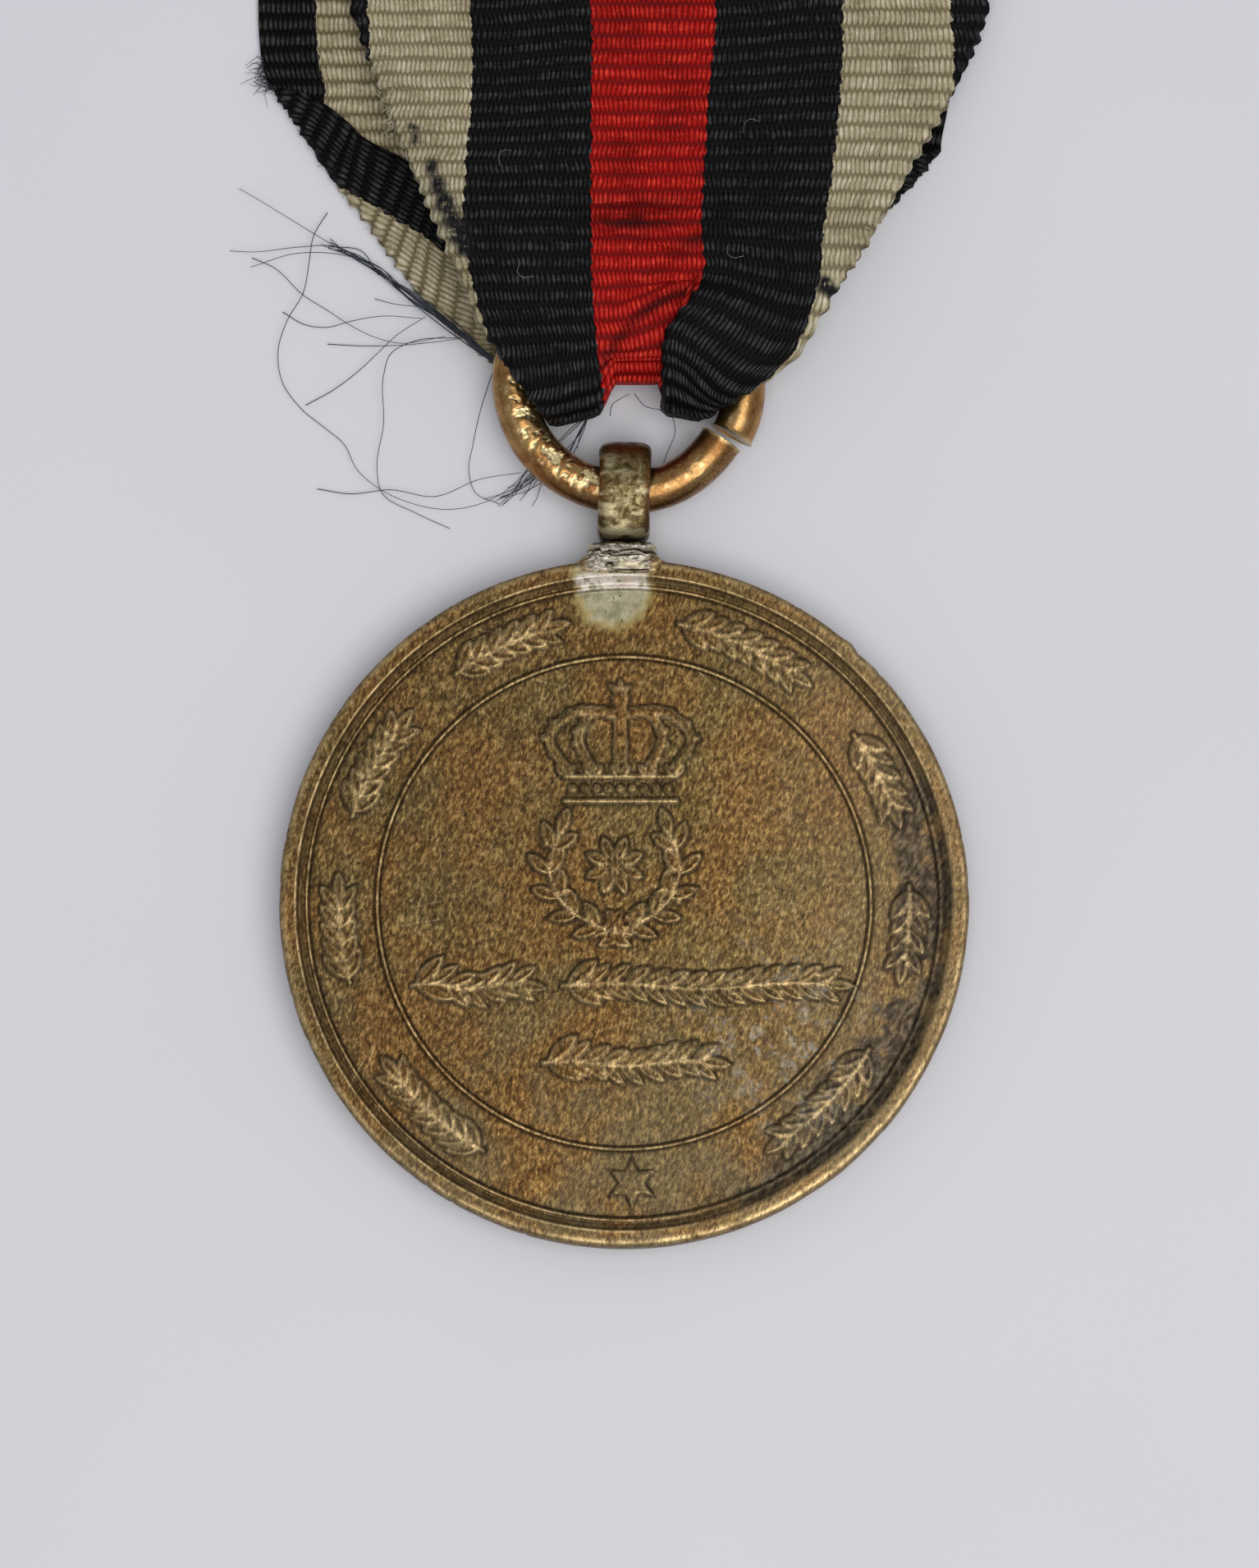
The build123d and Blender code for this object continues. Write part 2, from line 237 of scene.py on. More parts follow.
def spray(relief, points, pairs, length, width, tilt=34.0, berries=True, first_scale=1.0):
    """A stem along a curve with pairs of leaves, a leaf at its tip, and berries in the forks."""
    x, y, heading = curve_points(points, pairs * 4 + 1)
    relief.stroke(list(zip(x, y)), 0.09)
    lean = math.radians(tilt)
    for pair in range(pairs):
        k = pair * 4 + 1
        scale = first_scale if pair == 0 else 1.0
        for side in (1, -1):
            relief.leaf(x[k], y[k], heading[k] + side * lean, length * scale, width * scale)
        if berries and pair % 2:
            side = 1 if pair % 4 == 1 else -1
            away = heading[k] + side * math.radians(80)
            relief.dot(x[k] + 0.42 * math.cos(away), y[k] + 0.42 * math.sin(away), 0.13)
    relief.leaf(x[-1] - 0.2 * math.cos(heading[-1]), y[-1] - 0.2 * math.sin(heading[-1]),
                heading[-1], length, width)


# ------------------------------------------------------------------ the struck disc
RELIEF_HEIGHT = 0.15
FIELD = 1.92                   # height of the obverse field
REVERSE_FIELD = 0.30           # depth of the reverse field
EDGE_BEVEL = 0.26
PIT_DEPTH = 0.012
BAND_R = 12.0
BAND_SPRIGS = [(240.5, 213.0), (196.5, 175.7), (162.4, 138.7), (126.5, 102.0),
               (78.9, 49.3), (36.3, 16.9), (3.3, -14.6), (-31.0, -60.5)]
LINE_SPRIGS = [(-9.1, -3.6, -3.5), (-2.8, 9.3, -3.5), (-3.6, 4.1, -6.75)]
# Mesh zones of each face: start and end radius, number of rings, and points in each ring.
DISC_ZONES = [(0.0, 1.5, 16, 288), (1.5, 7.0, 66, 576), (7.0, 10.15, 34, 1152), (10.15, 10.62, 13, 1152),
              (10.62, 13.15, 30, 1152), (13.15, 13.95, 22, 1152), (13.95, 14.2, 4, 1152)]
REVERSE_ZONES = [(14.2, 4.0, 54, 576), (4.0, 0.0, 16, 288)]
RIM_STEPS = [(13.12, 0.0), (13.20, 0.0), (13.27, 0.07), (13.33, 0.13), (13.39, 0.12), (13.46, 0.08),
             (13.56, 0.12), (13.68, 0.24), (13.76, 0.33), (13.81, 0.38), (13.87, 0.375), (14.0, 0.37),
             (14.2, 0.36)]     # radius, and height over the field


def band_point(degrees, radius=BAND_R):
    angle = math.radians(degrees)
    return radius * math.cos(angle), radius * math.sin(angle)


def crown_relief(relief):
    """A plain closed crown: a beaded band, leaf tips, arches that meet under a ball."""
    mid, base, band_top, arch_top = -0.15, 4.28, 5.32, 8.15
    for y in (base, band_top):
        relief.line(mid - 2.35, y, mid + 2.35, y, 0.09)
    for bead in range(9):
        relief.dot(mid - 2.0 + bead * 0.5, (base + band_top) / 2, 0.17)
    for reach, bulge in ((-2.2, -3.0), (-1.15, -1.75), (1.15, 1.75), (2.2, 3.0)):
        arch = curve_points([(mid + reach, band_top + 0.2), (mid + bulge, 7.0),
                             (mid + bulge * 0.62, arch_top - 0.1), (mid, arch_top - 0.25)], 14)
        relief.stroke(list(zip(arch[0], arch[1])), 0.2)
        for pearl in range(2, 12, 2):
            relief.dot(arch[0][pearl] + math.copysign(0.2, bulge), arch[1][pearl] + 0.04, 0.15)
    relief.line(mid, band_top + 0.2, mid, arch_top, 0.3)
    for x in (-2.3, -1.15, 0.0, 1.15, 2.3):
        for lean in (-40, 0, 40):
            relief.leaf(mid + x, band_top + 0.02, math.radians(90 + lean), 0.62, 0.34)
    relief.dot(mid, 8.62, 0.38)
    for turn in (30, 90, 150):
        relief.leaf(mid, 8.9, math.radians(turn), 0.55, 0.26)


def wreath_relief(relief):
    """Two laurel branches tied below an eight-petalled rosette."""
    mid = -0.4
    for side in (-1, 1):
        route = [(mid - side * 0.7, -1.35), (mid + side * 0.8, -0.95), (mid + side * 2.2, 0.0),
                 (mid + side * 2.75, 1.6), (mid + side * 2.3, 3.0)]
        spray(relief, route, 6, 1.25, 0.56, tilt=38)
    for petal in range(8):
        turn = math.radians(22.5 + 45 * petal)
        relief.leaf(mid + 0.24 * math.cos(turn), 1.55 + 0.24 * math.sin(turn), turn, 1.05, 0.52)
    relief.dot(mid, 1.55, 0.24)
    for x, y in ((-0.3, -1.0), (0.3, -1.0)):
        relief.leaf(mid, -0.95, math.atan2(y, x * 2.4), 0.7, 0.32)


def obverse_relief(x, y):
    relief = Relief(x, y)
    for start, end in BAND_SPRIGS:
        steps = np.linspace(start, end, 7)
        pairs = max(3, round(math.radians(start - end) * BAND_R / 0.86))
        spray(relief, [band_point(step) for step in steps[:-1]], pairs, 1.3, 0.5, first_scale=1.1)
    for left, right, level in LINE_SPRIGS:
        pairs = round((right - left) / 0.84)
        wave = [(left + 0.2 + t * (right - left - 0.9), level + 0.12 * math.sin(t * 9))
                for t in np.linspace(0, 1, 12)]
        spray(relief, wave, pairs, 1.3, 0.48, first_scale=1.3)
    crown_relief(relief)
    wreath_relief(relief)
    relief.star(0.33, -11.8, 0.98, 0.52, 6)
    return relief


def reverse_relief(x, y):
    """A laurel wreath round a burst of rays."""
    relief = Relief(x, y)
    for side in (-1, 1):
        route = [band_point(-90 + side * turn, 11.2) for turn in np.linspace(-6, 168, 14)]
        spray(relief, route, 17, 2.3, 0.85, tilt=30)
    for ray in range(24):
        turn = ray * 15
        reach = 8.9 if ray % 2 == 0 else 7.2
        relief.line(*band_point(turn, 4.2), *band_point(turn, reach), 0.16)
    return relief


def relief_profile(relief):
    """Height of a relief, from its distances, with a bright line along its edge, partly wear and partly
    painted highlight, and a dark line at its foot, partly patina and partly painted shade.
    """
    distance = relief.distance
    height = smooth(0.06, -0.07, distance) * (0.85 + 0.15 * smooth(0, -0.25, distance)) - 0.35 * relief.vein
    # Partly painted highlight: a thin bright line just inside the relief's edge, where it is also worn.
    edge = bell(distance, -0.045, 0.05)
    # Partly painted shade: a dark line just outside the relief's foot and in the sunk veins, where there is
    # also patina.
    foot = bell(distance, 0.075, 0.06) + 0.5 * relief.vein
    return height * RELIEF_HEIGHT, edge, foot


def obverse_profile(radius, angle):
    """Height of the turned rings on the obverse, with bright lines, partly wear and partly painted highlight,
    and dark lines, partly patina and partly painted shade.
    """
    radii, heights = zip(*RIM_STEPS)
    rim = through(radii, heights, np.clip(radius, radii[0], radii[-1]))
    rubbed = smooth(-1.65, -1.2, angle) * smooth(0.62, 0.2, angle)
    rubbed = rubbed * (0.75 + 0.25 * noise2(angle * 6 + 20, 0 * angle, 43))
    flattened = 0.10 * smooth(13.15, 13.3, radius) + 0.26 * smooth(13.3, 13.95, radius)
    rim = rim * (1 - rubbed) + flattened * rubbed
    circle = 0.13 * smooth(10.23, 10.34, radius) * smooth(10.53, 10.42, radius)
    beads = 0.5 + 0.5 * smooth(0.3, 0.6, noise2(angle * 40 + 300, 0 * angle, 41))
    # Bright lines on the rim's ridges and on the inner circle, broken by its beads: partly wear, partly
    # painted highlight.
    edge = 1.2 * bell(radius, 13.81, 0.045) + 0.9 * beads * bell(radius, 13.34, 0.04)
    edge = edge + 0.5 * bell(radius, 13.63, 0.05) + 0.9 * beads * bell(radius, 10.38, 0.05)
    # Dark lines in the rim's grooves: partly patina, partly painted shade.
    dark = 0.9 * bell(radius, 13.20, 0.06) + 0.5 * bell(radius, 13.47, 0.04) + 0.4 * bell(radius, 13.73, 0.03)
    edge, dark = edge * (1 - 0.85 * rubbed), dark * (1 - 0.6 * rubbed)
    # Where the rim is rubbed, a fainter bright line at the inner circle and a broad bright band on the
    # flattened rim: partly wear, partly painted highlight.
    edge = edge + 0.45 * beads * bell(radius, 10.38, 0.05) * rubbed + 0.25 * bell(radius, 13.9, 0.12) * rubbed
    # Dark lines at both feet of the inner circle: partly patina, partly painted shade.
    dark = dark + 0.8 * bell(radius, 10.23, 0.045) + 0.8 * bell(radius, 10.55, 0.045)
    return FIELD + rim + circle, edge, dark


def edge_radius(angle):
    """The rim's outline, with its small nicks and one bruise."""
    wander = 0.05 * (fractal(angle * 9 + 40, 0 * angle, 3) - 0.5)
    nicks = -0.035 * smooth(0.84, 0.96, noise2(angle * 22 + 90, 0 * angle, 5))
    bruise = 0.06 * bell(angle, 0.855, 0.02) - 0.05 * bell(angle, 0.80, 0.03)
    return DISC_R + wander + nicks + bruise


def scratches(x, y, count, seed, reach):
    """Fine straight scratches, 1 on a scratch and 0 off it."""
    rng = np.random.default_rng(seed)
    mark = np.zeros(x.shape)
    for _ in range(count):
        cx, cy = rng.uniform(-reach, reach, 2)
        turn, half = rng.uniform(0, math.pi), rng.uniform(0.2, 1.5)
        along = (x - cx) * math.cos(turn) + (y - cy) * math.sin(turn)
        side = -(x - cx) * math.sin(turn) + (y - cy) * math.cos(turn)
        depth = rng.uniform(0.3, 1)
        mark = np.maximum(mark, depth * bell(side, 0, 0.03) * smooth(half, half * 0.5, np.abs(along)))
    return mark


def disc_rings():
    """The mesh's rings from the obverse's centre, over the edge, to the reverse's centre.
    Each is (radius, position across the edge or None, which side, number of points)."""
    rings = []
    for low, high, count, points in DISC_ZONES:
        for radius in np.linspace(low, high, count, endpoint=False):
            rings.append((radius, 0.0, 1, points))
    for step in np.linspace(0, 1, 13):
        rings.append((DISC_R, step, 0, 1152))
    for high, low, count, points in REVERSE_ZONES:
        for radius in np.linspace(high, low, count, endpoint=False):
            rings.append((radius, 0.0, -1, points))
    rings.append((0.0, 0.0, -1, 288))
    return rings


def stitch_rings(rings):
    """Faces between neighbouring rings, where one may have twice the points of the other."""
    triangles, quads, first = [], [], 0
    for (_, _, _, count), (_, _, _, after) in zip(rings[:-1], rings[1:]):
        second = first + count
        if count == after:
            i = np.arange(count)
            j = (i + 1) % count
            quads.append(np.stack([first + i, second + i, second + j, first + j], -1))
        else:
            fine, coarse = (second, first) if after > count else (first, second)
            number = min(count, after)
            i = np.arange(number)
            j = (i + 1) % number
            a, b, c = fine + 2 * i, fine + 2 * i + 1, fine + (2 * i + 2) % (2 * number)
            blocks = [(a, b, coarse + i), (b, coarse + j, coarse + i), (b, c, coarse + j)]
            for block in blocks:
                corners = np.stack(block, -1)
                triangles.append(corners[:, ::-1] if after < count else corners)
        first = second
    return [np.concatenate(quads), np.concatenate(triangles)]


def disc_plan(rings):
    """For each point of the rings: its radius, position across the edge, side of the disc and angle."""
    counts = np.array([ring[3] for ring in rings])
    radius, across, side = (np.repeat([ring[k] for ring in rings], counts) for k in range(3))
    angle = np.concatenate([TAU * np.arange(count) / count for count in counts])
    return radius, across, side, np.where(angle > math.pi, angle - TAU, angle)


def strike_obverse(x, y, radius, angle):
    """Height of the front, its worn edges with painted highlights, and its dark hollows, patina with painted
    shade.
    """
    lift, bright, foot = relief_profile(obverse_relief(x, y))
    turned, ring_wear_and_highlight, ring_patina_and_shade = obverse_profile(radius, angle)
    marks = scratches(x, y, 70, 11, 12)
    pits = PIT_DEPTH * (fractal(x * 3.3, y * 3.3, 21) - 0.5)
    # The wear mark is real scratches, and bright edge lines that are partly wear and partly painted
    # highlight.
    wear = np.clip(bright * 0.9 + ring_wear_and_highlight + 0.55 * marks, 0, 1)
    # The dark mark is patina in the hollows, and partly painted shade at the relief's feet and in the rim's
    # grooves.
    return turned + lift + pits - PIT_DEPTH * marks, wear, np.clip(foot + ring_patina_and_shade, 0, 1)


def strike_reverse(x, y, radius):
    """Height of the back, whose rim and boss are level, its worn edges with painted highlights, and its dark
    hollows, patina with painted shade.
    """
    lift, bright, foot = relief_profile(reverse_relief(x, y))
    level = smooth(13.05, 13.35, radius) + smooth(3.35, 3.05, radius)
    z = REVERSE_FIELD * (1 - level) - np.minimum(lift * 1.3, REVERSE_FIELD * 0.8)
    # Wear: the relief's bright edge lines, partly painted highlight, and bright rings at the rim and the
    # boss.
    wear = np.clip(bright * 0.9 + bell(radius, 13.4, 0.08) + bell(radius, 3.05, 0.08), 0, 1)
    return z, wear, np.clip(foot, 0, 1)


def spilt_solder(x, y, r):
    """Where tin ran over the obverse below the eye, its yellowed edge, and its bright run on the rim."""
    blotch = fractal(x * 0.55, y * 0.55, 31)
    ragged = 0.30 * (blotch - 0.5) + 0.30 * (fractal(x * 4, y * 4, 33) - 0.5)
    spread = np.hypot((x + 0.53) / 1.56, np.maximum(13.3 - y, 0) / 1.60) + ragged
    silver = smooth(1.04, 0.84, spread) * smooth(13.20, 13.34, r) * smooth(14.1, 13.8, r)
    silver = silver * smooth(0.22, 0.36, fractal(x * 2.6, y * 3.2, 34))
    return {"tin": smooth(1.14, 0.90, spread), "halo": bell(spread, 0.99, 0.13), "silver": silver}


def tarnished(x, y, r, angle):
    """Dark tarnish in the border's hollows: on the right, at the lower right, and beside the solder."""
    amount = bell(angle, -0.02, 0.42) * smooth(10.6, 12.6, r)
    amount = amount + bell(angle, -0.72, 0.30) * smooth(10.4, 12.9, r)
    amount = amount + 0.5 * bell(np.hypot(x - 2.6, y - 14.2), 0, 0.7)
    amount = amount + 0.35 * bell(angle, -1.05, 0.5) * smooth(12.4, 13.2, r)
    amount = amount + 0.8 * bell(angle, 0.22, 0.16) * bell(r, 12.9, 0.5)
    amount = amount + 0.9 * bell(angle, -0.62, 0.2) * bell(r, 12.4, 1.1)
    broken = smooth(0.28, 0.62, fractal(x * 1.1, y * 1.1, 35)) + 0.3 * (fractal(x * 5, y * 5, 36) - 0.5)
    return np.clip(amount * broken * 1.9 * smooth(13.95, 13.6, r), 0, 1)


def pale_specks(x, y):
    """Grey specks in the field at the lower right."""
    patches = smooth(0.46, 0.66, fractal(x * 1.6, y * 1.6, 37))
    patches = patches * smooth(0.44, 0.60, fractal(x * 6, y * 6, 38))
    return patches * bell(np.hypot(x - 6.6, y + 5.6), 0, 3.4)


def build_disc():
    """The struck disc: both faces with their relief, and a rounded, nicked edge between them."""
    rings = disc_rings()
    radius, across, side, angle = disc_plan(rings)
    front, edge, back = side == 1, side == 0, side == -1
    outline = edge_radius(angle)
    lean = across * math.pi
    edge_r = outline - EDGE_BEVEL * (1 - np.sin(lean)) ** 1.5
    edge_z = DISC_TOP / 2 + DISC_TOP / 2 * squared(np.cos(lean), 0.35)
    face_r = radius * (1 + (outline / DISC_R - 1) * smooth(12, 14.2, radius))
    r = np.where(edge, edge_r, face_r)
    x, y = r * np.cos(angle), r * np.sin(angle)

    z = np.where(edge, edge_z, 0.0)
    wear, dark = np.zeros(x.shape), np.zeros(x.shape)
    z[front], wear[front], dark[front] = strike_obverse(x[front], y[front], face_r[front], angle[front])
    z[back], wear[back], dark[back] = strike_reverse(x[back], y[back], face_r[back])
    wear[edge] = np.clip(bell(across[edge], 0.12, 0.1) + bell(across[edge], 0.88, 0.1), 0, 1)
    seen = side > -1
    # Painted highlight: a bright band along the rim's outer edge at the lower right, added to the wear.
    wear = np.clip(wear + 1.3 * bell(r, 14.26, 0.10) * bell(angle, -1.05, 0.62) * seen, 0, 1)
    wear = wear * (0.35 + 0.65 * smooth(0.25, 0.7, fractal(x * 1.7, y * 1.7, 39)))

    marks = {key: value * (y > 5) * seen for key, value in spilt_solder(x, y, r).items()}
    marks.update(wear=wear, dark=dark, tarnish=tarnished(x, y, r, angle) * seen)
    marks["speck"] = pale_specks(x, y) * seen
    disc = make_mesh("medal_disc_struck", np.stack([x, y, z], -1), stitch_rings(rings), marks)
    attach(disc, "medal")
    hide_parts("medal_disc")
    return disc


# ------------------------------------------------------------------ eye, solder and ring
def build_eye():
    """A cast band bent into a loop that is open along X, its faces lightly rounded."""
    rows, columns = 220, 64
    turn = TAU * np.arange(rows) / rows
    section = TAU * np.arange(columns) / columns
    turn, section = np.meshgrid(turn, section, indexing="ij")
    hole = 1.15
    square = 2 + 2.4 * smooth(0.2, -0.3, np.cos(turn))
    outer = np.abs(np.cos(turn) / EYE_HALF[1]) ** square + np.abs(np.sin(turn) / EYE_HALF[2]) ** square
    outer = outer ** (-1 / square)
    middle, half = (outer + hole) / 2, (outer - hole) / 2
    power = 2 / 3.2
    across, radial = squared(np.cos(section), power), squared(np.sin(section), power)
    lumps = fractal(turn * 4.5 + 60, across * 4 + 30, 51) - 0.5
    hammered = noise2(turn * 9 + 20, across * 7 + 60, 53) - 0.5
    width = EYE_HALF[0] * (1.0 + 0.03 * np.cos(turn) ** 2) + 0.04 * lumps
    height = middle + half * radial + smooth(0.0, 0.3, radial) * (0.02 * lumps + 0.02 * hammered)
    foot = smooth(0.6, -0.8, np.cos(turn))
    x = EYE_CENTRE[0] - 0.04 - 0.07 * foot + across * width
    y = EYE_CENTRE[1] + height * np.cos(turn)
    z = EYE_CENTRE[2] + height * np.sin(turn)
    wear = smooth(0.55, 0.75, fractal(turn * 6 + 11, across * 1.6 + 9, 55)) * (radial > 0)
    points = np.stack([x, y, np.maximum(z, 0.005)], -1).reshape(-1, 3)
    eye = make_mesh("suspension_eye_band", points, [grid_faces(rows, columns, True, True)],
                    {"wear": wear.ravel()})
    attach(eye, "medal")
    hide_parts("suspension_eye")
    return eye


def build_solder():
    """Cracked, lumpy solder: a rough lip at the eye's foot, and a flare onto the disc's edge."""
    rows, columns = 140, 160
    height = np.linspace(13.7, 15.2, rows)
    section = TAU * np.arange(columns) / columns
    height, section = np.meshgrid(height, section, indexing="ij")
    knots = [13.7, 14.0, 14.2, 14.36, 14.6, 14.85, 15.05, 15.2]
    left = through(knots, [-3.0, -2.65, -2.42, -2.14, -1.78, -1.56, -1.52, -1.36], height)
    right = through(knots, [2.75, 2.4, 2.13, 1.84, 1.50, 1.36, 1.34, 1.18], height)
    front = through(knots, [2.12, 2.37, 2.48, 2.55, 2.66, 2.84, 2.92, 2.66], height)
    back = through(knots, [0.3, 0.2, 0.16, 0.16, 0.16, 0.16, 0.22, 0.4], height)
    power = 2 / 3.0
    across, depth = squared(np.cos(section), power), squared(np.sin(section), power)
    flat_x = (left + right) / 2 + across * (right - left) / 2
    rough = fractal(across * 5 + 50, height * 6.5, 61, 4) - 0.5
    chips = fractal(across * 9 + 20, height * 9, 62, 2) - 0.5
    lip = bell(height, 15.0, 0.14)
    tooth = noise2(across * 6 + 20, 0 * height, 63) - 0.5
    lip_foot = 14.78 + 0.05 * np.sin(across * 5) + 0.12 * tooth
    under_lip = bell(height, lip_foot, 0.028 + 0.03 * smooth(0.4, 1.0, flat_x))
    level = bell(height, 14.62 + 0.10 * tooth, 0.018) * smooth(1.15, 0.8, np.abs(flat_x + 0.2))
    slanted = bell(height, 14.38 + 0.55 * (flat_x - 0.9) + 0.05 * tooth, 0.03) * bell(flat_x, 0.92, 0.35)
    low = bell(height, 14.03 + 0.04 * tooth, 0.02) * smooth(-0.3, 0.0, flat_x) * smooth(1.1, 0.9, flat_x)
    crack = np.maximum(np.maximum(under_lip, level), np.maximum(slanted, low))
    pit = smooth(1.25, 0.8, np.hypot((flat_x + 0.61) / 0.15, (height - 14.25) / 0.10)) * (depth > 0)
    plate = smooth(0.62, 0.5, np.abs(flat_x - 0.25)) * smooth(0.17, 0.11, np.abs(height - 14.24))
    rough = rough * (1 - 0.7 * plate)
    swell = 1 + 0.12 * rough + 0.05 * chips - 0.10 * crack - 0.16 * pit + 0.05 * lip * np.abs(across)
    x = flat_x + (0.16 * rough + 0.10 * chips - 0.05 * crack) * np.sign(across) * np.abs(across) ** 2
    z = (front + back) / 2 + depth * (front - back) / 2 * swell
    y = height + 0.10 * (noise2(across * 6 + 70, depth * 3 + 20, 69) - 0.5)
    points = np.stack([x, y, np.maximum(z, 0.03)], -1).reshape(-1, 3)
    ends = [np.arange(columns)[::-1][None, :], (rows - 1) * columns + np.arange(columns)[None, :]]
    crust_and_shadow = crack + pit + 0.6 * smooth(0.60, 0.72, fractal(across * 6 + 9, height * 6, 67)) * (1 - plate)
    # Painted shadow: the top of the solder, under the eye's foot, is darkened.
    crust_and_shadow = crust_and_shadow + 0.7 * smooth(15.06, 15.16, height)
    warm = smooth(1.05, 1.6, np.abs(flat_x + 0.25)) * smooth(14.85, 14.65, height)
    warm = warm + smooth(14.1, 13.85, height)
    bright = lip * smooth(0.75, 0.98, np.abs(across)) + 0.5 * plate
    solder = make_mesh("solder_lump", points, [grid_faces(rows, columns, False, True)] + ends,
                       {"dark": np.clip(crust_and_shadow, 0, 1).ravel(), "warm": np.clip(warm, 0, 1).ravel(),
                        "bright": np.clip(bright, 0, 1).ravel()})
    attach(solder, "medal")
    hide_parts("solder_collar")
    return solder


RING_GAP_TURN = -31.0          # degrees
RING_GAP = 0.38


def build_ring():
    """Round wire bent into a ring, with sawn ends, and dents along its upper left side."""
    gap = math.degrees(RING_GAP / RING_R)
    rows, columns = 640, 64
    degrees = np.linspace(RING_GAP_TURN + gap / 2, RING_GAP_TURN + 360 - gap / 2, rows)
    section = TAU * np.arange(columns) / columns
    degrees, section = np.meshgrid(degrees, section, indexing="ij")
    turn = np.radians(degrees)
    from_start = degrees - degrees[0, 0]
    to_end = degrees[-1, 0] - degrees
    drift = 0.16 * smooth(50, 0, from_start) - 0.12 * smooth(45, 0, to_end)
    worn = smooth(172, 186, degrees) * smooth(262, 250, degrees)
    crest = bell(section, 1.85, 0.62)
    patches = smooth(0.52, 0.60, fractal(degrees * 0.42 + 7, section * 4.2, 71, 2)) * worn * crest
    dents = -0.055 * patches - 0.03 * worn * crest * fractal(degrees * 0.3, section * 2.0, 74)
    away = np.hypot((degrees - 306) * 0.085, (section - 1.45) * 0.9)
    spot = -0.02 * smooth(0.30, 0.18, away) + 0.006 * bell(away, 0.33, 0.06)
    burr = 0.06 * bell(from_start, 0, 1.0) + 0.04 * bell(to_end, 0, 1.2)
    chatter = 0.012 * (fractal(degrees * 0.25, section * 1.8, 73) - 0.5)
    wire = WIRE_R * 0.985 + dents + chatter + spot + burr
    radius = RING_R + drift + wire * np.cos(section)
    x = RING_CENTRE[0] + radius * np.cos(turn)
    y = RING_CENTRE[1] + radius * np.sin(turn)
    z = RING_CENTRE[2] + wire * np.sin(section)
    points = np.stack([x, y, z], -1).reshape(-1, 3)
    ends = [np.arange(columns)[None, :], (rows - 1) * columns + np.arange(columns)[::-1][None, :]]
    rubbed = patches + 0.5 * bell(from_start, 0, 1.2) + 0.5 * bell(to_end, 0, 1.2)
    rubbed = rubbed + 0.10 * bell(away, 0.31, 0.05)
    scuffs = smooth(0.62, 0.74, fractal(degrees * 0.22 + 40, section * 5.0, 75)) * bell(section, 1.5, 0.7)
    grime_and_shade = 0.8 * smooth(0.5, 0.8, fractal(degrees * 0.06 + 9, section * 0.8, 77))
    # Painted shade where the wire passes through the eye.
    grime_and_shade = grime_and_shade + 0.9 * bell(degrees, 268, 9)
    # Painted shade: darker from 270 degrees round to the gap, most on the wire's inner and outer flanks.
    grime_and_shade = grime_and_shade + smooth(270, 290, degrees) * (0.55 + 0.45 * smooth(0.45, 0.95, np.abs(np.cos(section))))
    marks = {"wear": np.clip(rubbed + 0.35 * scuffs, 0, 1).ravel(), "dark": np.clip(grime_and_shade, 0, 1).ravel()}
    ring = make_mesh("suspension_ring_wire", points, [grid_faces(rows, columns, False, True)] + ends, marks)
    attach(ring, "ring")
    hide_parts("suspension_ring")
    return ring


# ------------------------------------------------------------------ the ribbon
RIBBON_WIDTH = 29.9
STRIPE_WIDTHS = (2.4, 4.6, 5.35, 5.2, 5.35, 4.6, 2.4)
RED_LEFT = sum(STRIPE_WIDTHS[:3])
RIB_PITCH = 0.71
YARN_PITCH = 0.215
HALF_CLOTH = 0.12
RIB_SWELL = 0.10
FOLD_RADIUS = 0.26


def station(y, z, left, red, red_end, right, fold_left=-1.5, fold_right=31.4, pleat=0.0,
            fan=0.0, sag=0.0, crease=0.0):
    """One cross-section of the ribbon, on its way down the front, through the ring and up the back.
    left and right are where its folded sides are in X, and fold_left and fold_right how far across
    the cloth those folds are. red and red_end are the sides of the red stripe. pleat is the length
    of cloth that the fold at the red stripe hides. fan and sag are how far the right and the left
    side run ahead of the middle, and crease is how deep the old creases are."""
    return [y, z, left, red, red_end, right, fold_left, fold_right, pleat, fan, sag, crease]


